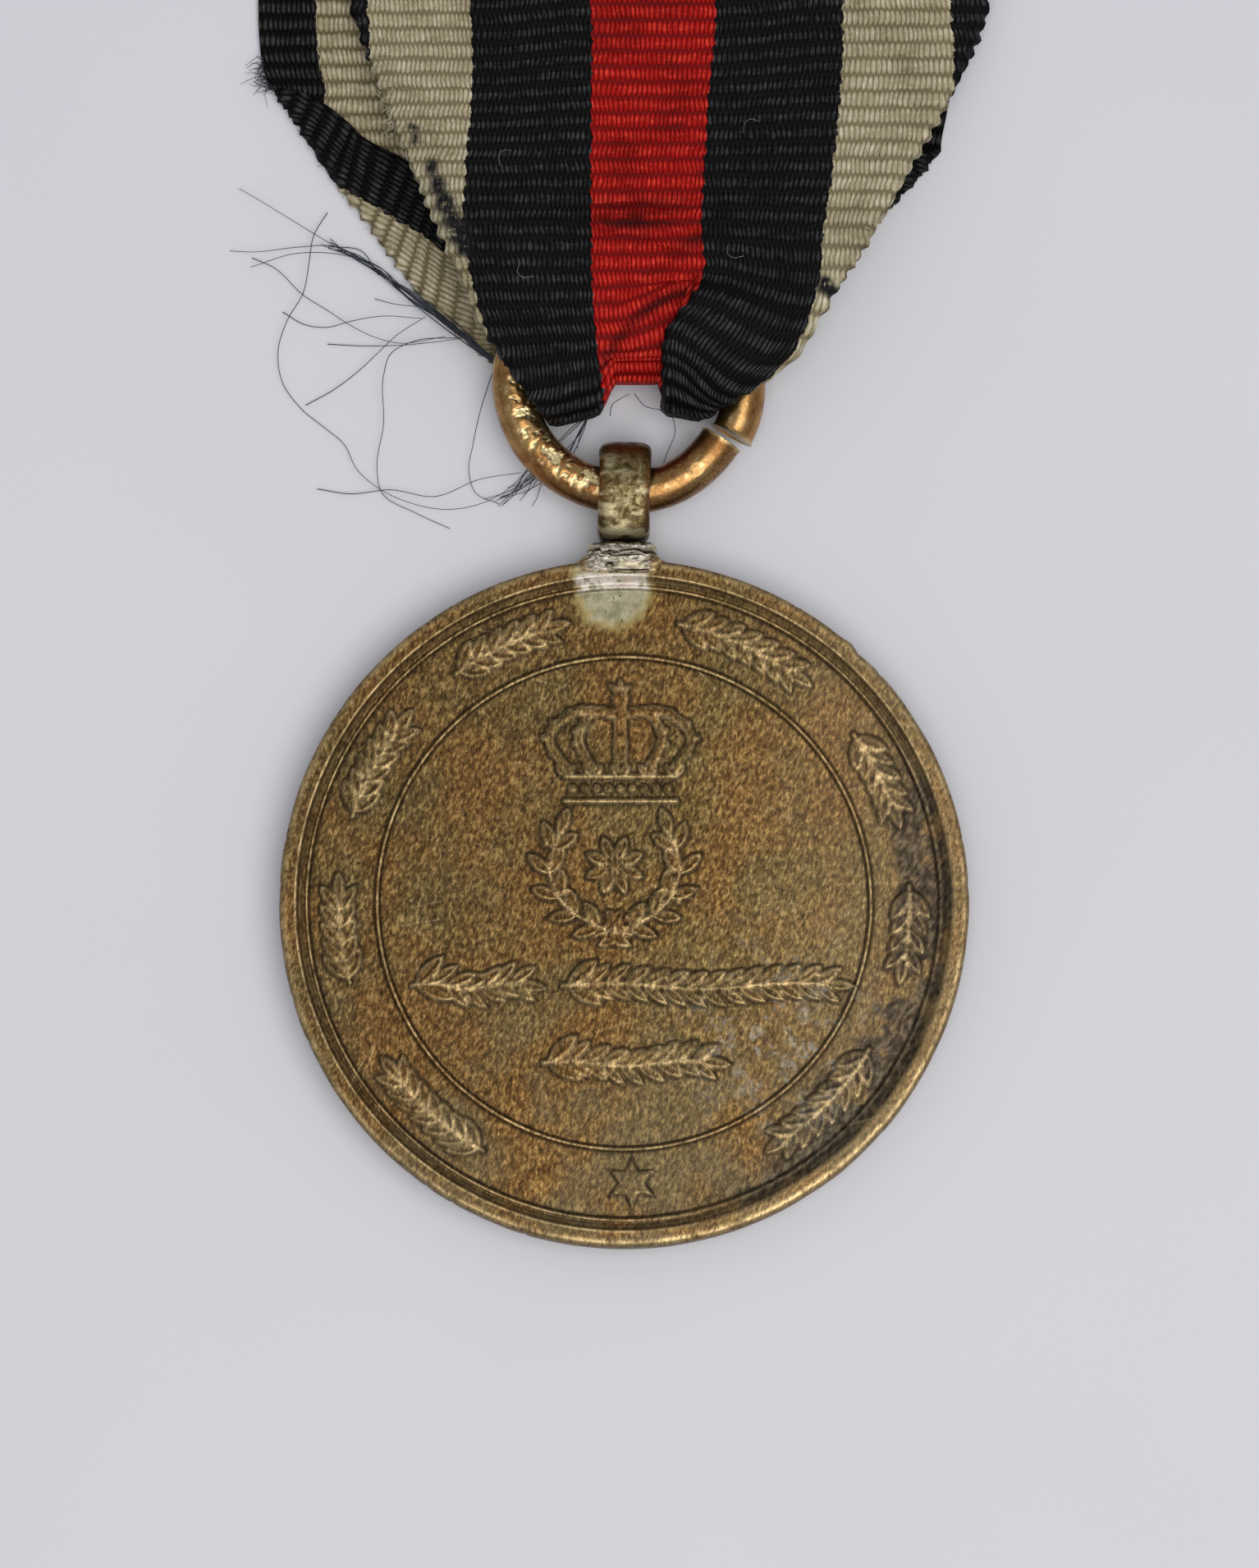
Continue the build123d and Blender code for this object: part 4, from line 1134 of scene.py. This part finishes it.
class Shader:
    """A material's node tree, with short ways to add and join nodes."""

    def __init__(self, name):
        self.material = bpy.data.materials.new(name)
        self.material.use_nodes = True
        self.tree = self.material.node_tree
        self.tree.nodes.clear()
        output = self.tree.nodes.new("ShaderNodeOutputMaterial")
        self.surface = self.tree.nodes.new("ShaderNodeBsdfPrincipled")
        self.tree.links.new(self.surface.outputs[0], output.inputs[0])

    def feed(self, socket, source):
        if isinstance(source, bpy.types.NodeSocket):
            self.tree.links.new(source, socket)
        elif source is not None:
            socket.default_value = source

    def set(self, **inputs):
        for name, source in inputs.items():
            self.feed(self.surface.inputs[name.replace("_", " ")], source)

    def place(self, scale=(1, 1, 1), turn=0.0, uv=False):
        """Coordinates in millimetres, turned about Z and then scaled."""
        if uv:
            start = self.tree.nodes.new("ShaderNodeUVMap")
            start.uv_map = "cloth"
            source, unit = start.outputs[0], 1.0
        else:
            start = self.tree.nodes.new("ShaderNodeTexCoord")
            source, unit = start.outputs["Object"], 1 / MM
        spin = self.tree.nodes.new("ShaderNodeMapping")
        spin.inputs["Rotation"].default_value = (0, 0, math.radians(turn))
        self.feed(spin.inputs["Vector"], source)
        size = self.tree.nodes.new("ShaderNodeVectorMath")
        size.operation = "MULTIPLY"
        self.feed(size.inputs[0], spin.outputs[0])
        size.inputs[1].default_value = tuple(s * unit for s in scale)
        return size.outputs[0]

    def noise(self, scale, detail, roughness=0.55, distortion=0.0, turn=0.0, uv=False):
        """Noise from 0 to 1, with scale steps per millimetre along each axis."""
        node = self.tree.nodes.new("ShaderNodeTexNoise")
        self.feed(node.inputs["Vector"], self.place(scale, turn, uv))
        node.inputs["Scale"].default_value = 1.0
        node.inputs["Detail"].default_value = detail
        node.inputs["Roughness"].default_value = roughness
        node.inputs["Distortion"].default_value = distortion
        return node.outputs[0]

    def cells(self, scale):
        """Distance to the nearest of scattered points, with scale steps per millimetre."""
        node = self.tree.nodes.new("ShaderNodeTexVoronoi")
        self.feed(node.inputs["Vector"], self.place(scale))
        node.inputs["Scale"].default_value = 1.0
        return node.outputs["Distance"]

    def attribute(self, name):
        node = self.tree.nodes.new("ShaderNodeAttribute")
        node.attribute_name = name
        return node.outputs["Fac"]

    def calc(self, operation, a, b=None):
        node = self.tree.nodes.new("ShaderNodeMath")
        node.operation = operation
        for socket, source in zip(node.inputs, (a, b)):
            self.feed(socket, source)
        return node.outputs[0]

    def times(self, a, b):
        return self.calc("MULTIPLY", a, b)

    def plus(self, a, b):
        return self.calc("ADD", a, b)

    def minus(self, a, b):
        return self.calc("SUBTRACT", a, b)

    def most(self, a, b):
        return self.calc("MAXIMUM", a, b)

    def step(self, value, low, high, out_low=0.0, out_high=1.0):
        """A smooth step of a value, from out_low to out_high."""
        node = self.tree.nodes.new("ShaderNodeMapRange")
        node.interpolation_type = "SMOOTHSTEP"
        for name, source in zip(("Value", "From Min", "From Max", "To Min", "To Max"),
                                (value, low, high, out_low, out_high)):
            self.feed(node.inputs[name], source)
        return node.outputs[0]

    def mix(self, share, first, second, blend="MIX"):
        node = self.tree.nodes.new("ShaderNodeMix")
        node.data_type = "RGBA"
        node.blend_type = blend
        self.feed(node.inputs[0], share)
        self.feed(node.inputs[6], first)
        self.feed(node.inputs[7], second)
        return node.outputs[2]

    def ramp(self, value, stops, constant=False):
        node = self.tree.nodes.new("ShaderNodeValToRGB")
        node.color_ramp.interpolation = "CONSTANT" if constant else "LINEAR"
        while len(node.color_ramp.elements) < len(stops):
            node.color_ramp.elements.new(1.0)
        for element, (position, colour) in zip(node.color_ramp.elements, stops):
            element.position = position
            element.color = colour
        self.feed(node.inputs[0], value)
        return node.outputs[0]

    def shades(self, value, stops):
        """A ramp between colours. Each stop is a position, and red, green and blue from 0 to 255."""
        return self.ramp(value, [(position, srgb(*colour)) for position, *colour in stops])

    def part(self, vector, axis):
        node = self.tree.nodes.new("ShaderNodeSeparateXYZ")
        self.feed(node.inputs[0], vector)
        return node.outputs[axis]

    def bump(self, height, strength, distance_mm):
        node = self.tree.nodes.new("ShaderNodeBump")
        node.inputs["Strength"].default_value = strength
        node.inputs["Distance"].default_value = distance_mm * MM
        self.feed(node.inputs["Height"], height)
        self.feed(self.surface.inputs["Normal"], node.outputs[0])

    def on(self, *objects):
        for obj in objects:
            obj.data.materials.clear()
            obj.data.materials.append(self.material)
        return self.material


def bronze_material():
    """Browned bronze, mottled in fine slanted flecks, worn to brass on its edges, with painted highlights
    along them and painted shade in its hollows and towards the upper left.
    """
    s = Shader("worn_bronze")
    flecks = s.noise((8.5, 4.0, 4.0), 3.5, 0.64, 0.25, turn=14)
    fine = s.noise((13, 6, 8), 3.0, 0.6, turn=-10)
    broad = s.noise((0.32, 0.32, 0.32), 3.0, 0.5)
    grain = s.noise((30, 30, 30), 2.0, 0.6)
    brown = s.shades(flecks, [(0.30, 50, 32, 11), (0.43, 90, 62, 27), (0.54, 118, 86, 43),
                            (0.68, 170, 134, 78)])
    olive = s.shades(flecks, [(0.30, 46, 34, 14), (0.44, 84, 67, 34), (0.56, 112, 93, 53),
                            (0.70, 168, 144, 94)])
    colour = s.mix(s.step(s.plus(broad, s.times(fine, 0.25)), 0.50, 0.78), brown, olive)
    place = s.place()
    across, along = s.part(place, 0), s.part(place, 1)
    rust = s.times(s.step(fine, 0.55, 0.70), 0.5)
    colour = s.mix(rust, colour, srgb(122, 78, 34))
    lower = s.times(s.step(along, -1.0, -12.0), s.step(broad, 0.35, 0.6))
    colour = s.mix(s.times(lower, 0.45), colour, srgb(104, 92, 70))
    # Painted shade and light: the colour darkens towards the upper left and lightens towards the right.
    painted_shade_axis = s.minus(across, s.times(along, 0.35))
    colour = s.mix(s.step(painted_shade_axis, -11.0, 8.0, 0.26, 0.0), colour, srgb(20, 13, 4))
    colour = s.mix(s.times(s.step(across, 3.0, 12.0), 0.28), colour, srgb(138, 120, 92))
    dashes = s.noise((5.5, 2.4, 3.0), 3.0, 0.62, turn=28)
    colour = s.mix(s.step(dashes, 0.54, 0.66, 0.0, 0.42), colour, srgb(158, 130, 78))
    colour = s.mix(s.step(dashes, 0.44, 0.34, 0.0, 0.45), colour, srgb(58, 42, 18))
    specks = s.times(s.step(s.noise((9, 6, 6), 3.0, 0.7, turn=20), 0.60, 0.70),
                    s.step(s.noise((0.5, 0.5, 0.5), 2.0), 0.40, 0.62))
    colour = s.mix(s.times(specks, 0.5), colour, srgb(158, 146, 120))
    shade = s.times(s.attribute("tarnish"), 0.85)
    umber = s.shades(dashes, [(0.36, 30, 27, 24), (0.50, 62, 54, 44), (0.64, 104, 92, 74)])
    colour = s.mix(shade, colour, umber)
    # Dark patina in the hollows, partly painted shade at the relief's feet and in the rim's grooves.
    dark = s.times(s.attribute("dark"), s.step(fine, 0.25, 0.55, 0.45, 0.85))
    dark = s.times(dark, s.minus(1.0, s.attribute("silver")))
    colour = s.mix(dark, colour, srgb(26, 19, 9))
    # Worn brass on the edges, partly painted highlight along the relief's edges and the rim's ridges, and the
    # lower rim's painted highlight.
    wear = s.times(s.attribute("wear"), s.step(flecks, 0.32, 0.54, 0.25, 0.85))
    colour = s.mix(wear, colour, srgb(206, 178, 128))
    tin = s.times(s.attribute("tin"), s.step(fine, 0.30, 0.42, 0.8, 1.0))
    clouded = s.noise((1.6, 1.6, 1.6), 4.0, 0.6)
    colour = s.mix(tin, colour, s.shades(clouded, [(0.36, 126, 122, 96), (0.50, 150, 144, 116),
                                                 (0.64, 164, 158, 134)]))
    colour = s.mix(s.times(s.attribute("halo"), 0.62), colour, srgb(150, 130, 72))
    drops = s.step(s.noise((5.5, 5.5, 5.5), 1.0, 0.5, turn=50), 0.70, 0.76)
    colour = s.mix(s.times(s.times(drops, tin), 0.8), colour, srgb(44, 42, 24))
    silver = s.times(s.attribute("silver"), s.step(fine, 0.34, 0.46, 0.55, 1.0))
    colour = s.mix(silver, colour, s.shades(clouded, [(0.36, 206, 190, 172), (0.58, 236, 226, 214)]))
    colour = s.mix(s.times(s.attribute("speck"), 0.55), colour, srgb(156, 152, 140))
    rough = s.step(flecks, 0.3, 0.7, 0.56, 0.44)
    rough = s.minus(rough, s.times(wear, 0.16))
    metal = s.minus(0.82, s.times(silver, 0.42))
    s.set(Base_Color=colour, Metallic=metal, Roughness=rough)
    bumps = s.plus(s.times(flecks, 0.42), s.times(fine, 0.25))
    bumps = s.times(bumps, s.minus(1.0, s.times(tin, 0.7)))
    bumps = s.plus(bumps, s.times(grain, 0.18))
    s.bump(bumps, 0.42, 0.035)
    return s


def eye_material():
    """Grey-gold plating, browned along the edges, darkened over its top as painted shade, and pitted."""
    s = Shader("eye_plating")
    mottle = s.noise((3.4, 3.0, 3.0), 5.0, 0.66, 0.5, turn=8)
    fine = s.noise((9, 9, 9), 4.0, 0.62)
    colour = s.shades(mottle, [(0.32, 50, 38, 18), (0.43, 92, 76, 44), (0.52, 126, 112, 76),
                             (0.64, 166, 153, 114)])
    rust = s.step(fine, 0.52, 0.66)
    colour = s.mix(s.times(rust, 0.5), colour, srgb(108, 70, 32))
    aside = s.calc("ABSOLUTE", s.minus(s.part(s.place(), 0), float(EYE_CENTRE[0] - 0.06)))
    edge = s.step(s.plus(aside, s.times(mottle, 0.5)), 0.95, 1.25)
    # Painted shade: the loop's top is darkened to the same brown as its browned edges.
    top = s.step(s.plus(s.part(s.place(), 1), s.times(mottle, 1.4)), 19.1, 19.9)
    colour = s.mix(s.times(s.most(edge, top), 0.75), colour, srgb(112, 70, 32))
    foot = s.step(s.plus(s.part(s.place(), 1), s.times(mottle, 1.6)), 17.9, 16.8, 0.0, 0.75)
    colour = s.mix(foot, colour, srgb(66, 52, 26))
    pits = s.times(s.step(s.noise((7, 7, 7), 2.0, 0.5, turn=40), 0.64, 0.72), 0.85)
    colour = s.mix(pits, colour, srgb(28, 20, 10))
    colour = s.mix(s.times(s.attribute("wear"), 0.55), colour, srgb(214, 200, 158))
    s.set(Base_Color=colour, Metallic=0.88, Roughness=s.step(mottle, 0.3, 0.7, 0.48, 0.32))
    bumps = s.minus(s.plus(mottle, s.times(fine, 0.4)), pits)
    s.bump(bumps, 0.45, 0.045)
    return s


def solder_material():
    """Dull lead-tin solder with dark cracks, browned where it runs out over the bronze."""
    s = Shader("old_solder")
    mottle = s.noise((3.6, 5.0, 3.6), 5.0, 0.68)
    fine = s.noise((12, 12, 12), 3.0, 0.6)
    colour = s.shades(mottle, [(0.34, 84, 76, 60), (0.46, 160, 150, 132), (0.60, 226, 216, 202)])
    browned = s.shades(mottle, [(0.36, 72, 52, 24), (0.48, 138, 108, 58), (0.62, 196, 166, 106)])
    colour = s.mix(s.times(s.attribute("warm"), 0.9), colour, browned)
    green = s.times(s.step(fine, 0.57, 0.68), 0.6)
    colour = s.mix(green, colour, srgb(66, 62, 40))
    # Dark cracks, pits and crust, and the painted shadow under the eye's foot.
    colour = s.mix(s.attribute("dark"), colour, srgb(30, 26, 19))
    colour = s.mix(s.attribute("bright"), colour, srgb(214, 200, 158))
    s.set(Base_Color=colour, Metallic=0.72, Roughness=s.step(mottle, 0.3, 0.7, 0.56, 0.38))
    s.bump(s.plus(mottle, s.times(fine, 0.4)), 0.6, 0.05)
    return s


def ring_material():
    """Coppery brass wire, smooth where it is untouched and bright where it is marked."""
    s = Shader("ring_brass")
    cloud = s.noise((0.7, 0.7, 0.7), 4.0, 0.55, 0.3)
    fine = s.noise((6, 9, 6), 4.0, 0.6, turn=30)
    drawn = s.noise((1.5, 1.5, 22), 3.0, 0.6)
    colour = s.shades(cloud, [(0.34, 134, 88, 46), (0.50, 166, 124, 74), (0.66, 188, 152, 98)])
    colour = s.mix(s.times(s.step(fine, 0.50, 0.68), 0.30), colour, srgb(124, 72, 34))
    # Grime, with painted shade where the wire passes through the eye and over the wire's right part and
    # flanks.
    grime_and_shade = s.times(s.attribute("dark"), s.step(fine, 0.34, 0.60, 0.35, 1.0))
    colour = s.mix(s.times(grime_and_shade, 0.85), colour, srgb(92, 62, 34))
    colour = s.mix(s.times(s.attribute("wear"), 0.9), colour, srgb(250, 228, 172))
    s.set(Base_Color=colour, Metallic=0.95, Roughness=s.step(cloud, 0.3, 0.7, 0.34, 0.25))
    pits = s.times(s.times(s.cells((5, 5, 5)), s.attribute("wear")), 1.2)
    bumps = s.plus(s.times(fine, 0.16), s.times(drawn, 0.10))
    s.bump(s.plus(bumps, pits), 0.5, 0.05)
    return s


def float_height(s, rib, yarn):
    """Height of the warp floats, which lie as ovals side by side, each rib's between its neighbours'."""
    to_even = s.calc("PINGPONG", rib, 1.0)
    to_odd = s.minus(1.0, to_even)
    beside = s.calc("PINGPONG", yarn, 0.5)
    between = s.minus(0.5, beside)
    ovals = []
    for lengthwise, sideways in ((to_even, beside), (to_odd, between)):
        end = s.times(s.calc("POWER", lengthwise, 2.0), 1 / 0.60 ** 2)
        flank = s.times(s.calc("POWER", sideways, 2.0), 3.0)
        ovals.append(s.minus(s.minus(1.0, end), flank))
    return s.most(s.most(ovals[0], ovals[1]), -0.3)


def striped(s, share, black, ivory, red):
    """A value for each stripe, by the share of the ribbon's width."""
    starts = [float(start) for start in np.concatenate([[0], np.cumsum(STRIPE_WIDTHS)[:-1]]) / RIBBON_WIDTH]
    return s.ramp(share, list(zip(starts, (black, ivory, black, red, black, ivory, black))), constant=True)


def ribbon_material():
    """Ribbed silk in black, ivory and red stripes: fine warp floats over a thick weft."""
    s = Shader("striped_silk")
    cloth = s.place(uv=True)
    u, v = s.part(cloth, 0), s.part(cloth, 1)
    wobble = s.noise((1.5, 4.5, 1), 3.0, 0.6, uv=True)
    sway = s.noise((0.5, 0.5, 1), 2.0, 0.5, uv=True)
    hair = s.noise((15, 1.6, 1), 3.0, 0.6, uv=True)
    rib = s.calc("DIVIDE", s.plus(v, s.times(wobble, 0.28)), RIB_PITCH)
    yarn = s.calc("DIVIDE", s.plus(u, s.times(sway, 0.5)), YARN_PITCH)
    height = float_height(s, rib, yarn)
    edge = s.times(s.minus(s.calc("PINGPONG", rib, 0.5), 0.25), 0.20)
    edge = s.plus(edge, s.times(s.minus(wobble, 0.5), 0.3))
    share = s.calc("DIVIDE", s.plus(u, edge), RIBBON_WIDTH)
    colour = striped(s, share, srgb(9, 9, 10), srgb(172, 161, 128), srgb(160, 12, 10))
    # Painted highlights: a lighter colour of each stripe for the lit tops of the floats.
    tips = striped(s, share, srgb(76, 77, 80), srgb(234, 226, 202), srgb(255, 76, 58))
    gloss = s.noise((1.1, 2.2, 1), 3.0, 0.6, uv=True)
    lit = s.times(s.step(height, 0.40, 0.95), s.step(hair, 0.35, 0.65, 0.10, 0.9))
    lit = s.times(lit, s.step(gloss, 0.34, 0.64, 0.35, 1.25))
    turn = s.calc("FRACT", s.plus(rib, 0.30))
    crest = s.times(s.step(turn, 0.0, 0.10), s.step(turn, 0.66, 0.38))
    plain = striped(s, share, (0.22, 0.22, 0.22, 1), (0.75, 0.75, 0.75, 1), (0.38, 0.38, 0.38, 1))
    lit = s.times(lit, s.most(crest, plain))
    colour = s.mix(lit, colour, tips)
    # Painted shade in the rib valleys and in the gaps between the floats.
    valley_shade = s.step(s.calc("PINGPONG", rib, 0.5), 0.30, 0.5, 0.0, 0.55)
    hollow = s.most(s.step(height, 0.45, -0.1, 0.0, 0.85), valley_shade)
    colour = s.mix(hollow, colour, (0.11, 0.09, 0.08, 1), blend="MULTIPLY")
    tone = s.noise((0.35, 0.22, 1), 3.0, 0.6, uv=True)
    colour = s.mix(s.step(tone, 0.40, 0.68, 0.0, 0.45), colour, (0.66, 0.60, 0.54, 1), blend="MULTIPLY")
    # Soot and dirt on the front, and painted shade over the whole back layer.
    dirt_and_shade = s.times(s.attribute("soot_and_shade"), s.step(wobble, 0.30, 0.7, 0.25, 0.8))
    colour = s.mix(dirt_and_shade, colour, (0.52, 0.46, 0.40, 1), blend="MULTIPLY")
    # Painted shade in the folds and creases.
    colour = s.mix(s.times(s.attribute("fold"), 0.95), colour, (0.20, 0.16, 0.16, 1), blend="MULTIPLY")
    ink = s.times(s.attribute("ink"), s.step(s.plus(hair, wobble), 0.62, 0.95))
    colour = s.mix(ink, colour, srgb(24, 24, 28))
    s.set(Base_Color=colour, Roughness=s.step(hair, 0.3, 0.7, 0.58, 0.42))
    s.surface.inputs["Specular IOR Level"].default_value = 0.10
    relief = s.plus(s.times(height, 0.8), s.times(hair, 0.30))
    s.bump(relief, 1.0, 0.075)
    return s


def thread_material(name, colour, other, roughness=0.7):
    """Spun fibre that drifts between two shades along its length."""
    s = Shader(name)
    fuzz = s.noise((2.4, 2.4, 2.4), 3.0, 0.6)
    ply = s.noise((9, 9, 9), 3.0, 0.6)
    shade = s.mix(s.step(fuzz, 0.35, 0.68), colour, other)
    shade = s.mix(s.step(ply, 0.55, 0.75, 0.0, 0.4), shade, srgb(20, 18, 20))
    s.set(Base_Color=shade, Roughness=roughness)
    s.bump(ply, 0.4, 0.01)
    return s


# ------------------------------------------------------------------ floor, light and camera
def floor_material():
    s = Shader("pale_card")
    cloud = s.noise((0.035, 0.035, 0.035), 3.0, 0.5)
    grain = s.noise((2.2, 2.2, 2.2), 3.0, 0.6)
    colour = s.mix(cloud, srgb(217, 218, 224), srgb(223, 223, 229))
    s.set(Base_Color=colour, Roughness=0.75)
    s.bump(grain, 0.15, 0.02)
    return s


def build_floor():
    reach = 3000.0
    corners = [(-reach, -reach, 0), (reach, -reach, 0), (reach, reach, 0), (-reach, reach, 0)]
    floor = make_mesh("floor", corners, [np.array([[0, 1, 2, 3]])], flat=True)
    floor_material().on(floor)


def area_light(name, place_mm, target_mm, size_mm, power, colour):
    data = bpy.data.lights.new(name, "AREA")
    data.shape = "DISK"
    data.size = size_mm * MM
    data.energy = power
    data.color = colour
    light = bpy.data.objects.new(name, data)
    bpy.context.scene.collection.objects.link(light)
    light.location = Vector(place_mm) * MM
    light.rotation_euler = (Vector(target_mm) - Vector(place_mm)).to_track_quat("-Z", "Y").to_euler()


def set_world():
    world = bpy.data.worlds.new("soft_room")
    world.use_nodes = True
    nodes, links = world.node_tree.nodes, world.node_tree.links
    back = nodes["Background"]
    place = nodes.new("ShaderNodeTexCoord")
    split = nodes.new("ShaderNodeSeparateXYZ")
    ramp = nodes.new("ShaderNodeValToRGB")
    links.new(place.outputs["Generated"], split.inputs[0])
    links.new(split.outputs["Z"], ramp.inputs[0])
    ramp.color_ramp.elements[0].color = (0.50, 0.51, 0.54, 1)
    ramp.color_ramp.elements[1].color = (0.94, 0.96, 1.0, 1)
    links.new(ramp.outputs[0], back.inputs["Color"])
    back.inputs["Strength"].default_value = 0.53
    bpy.context.scene.world = world


def set_camera():
    data = bpy.data.cameras.new("photo_camera")
    data.sensor_fit = "VERTICAL"
    data.sensor_height = 36.0
    data.lens = 180.0
    camera = bpy.data.objects.new("photo_camera", data)
    bpy.context.scene.collection.objects.link(camera)
    centre = Vector((0.23, 5.0, 2.0)) * MM
    tilt = math.radians(5.5)
    away = Vector((0, -math.sin(tilt), math.cos(tilt))) * 330 * MM
    camera.location = centre + away
    camera.rotation_euler = (-away).to_track_quat("-Z", "Y").to_euler()
    bpy.context.scene.camera = camera
    bpy.context.scene.view_settings.view_transform = "Standard"


def main():
    bronze_material().on(build_disc())
    eye_material().on(build_eye())
    solder_material().on(build_solder())
    ring_material().on(build_ring())
    cloth, points, along, across = build_ribbon()
    ribbon_material().on(cloth)
    frayed = build_frayed_threads()
    ivory_fuzz, black_fuzz = build_fuzz(points, across)
    upper_fuzz = build_upper_fuzz(points, across)
    lint = build_lint()
    stitches = build_stitches()
    thread_material("frayed_dark_silk", srgb(24, 27, 38), srgb(54, 58, 72)).on(frayed)
    thread_material("dark_fuzz", srgb(16, 17, 20), srgb(40, 41, 47)).on(black_fuzz)
    thread_material("pale_fuzz", srgb(206, 198, 172), srgb(168, 160, 134)).on(ivory_fuzz, upper_fuzz)
    thread_material("lint_white", srgb(120, 122, 126), srgb(170, 170, 172)).on(lint)
    thread_material("sewing_thread", srgb(24, 24, 27), srgb(52, 53, 58)).on(stitches)
    build_floor()
    set_world()
    area_light("overhead_softbox", (90, -110, 460), (0, 5, 0), 460, 1.38, (1.0, 0.985, 0.96))
    set_camera()


main()
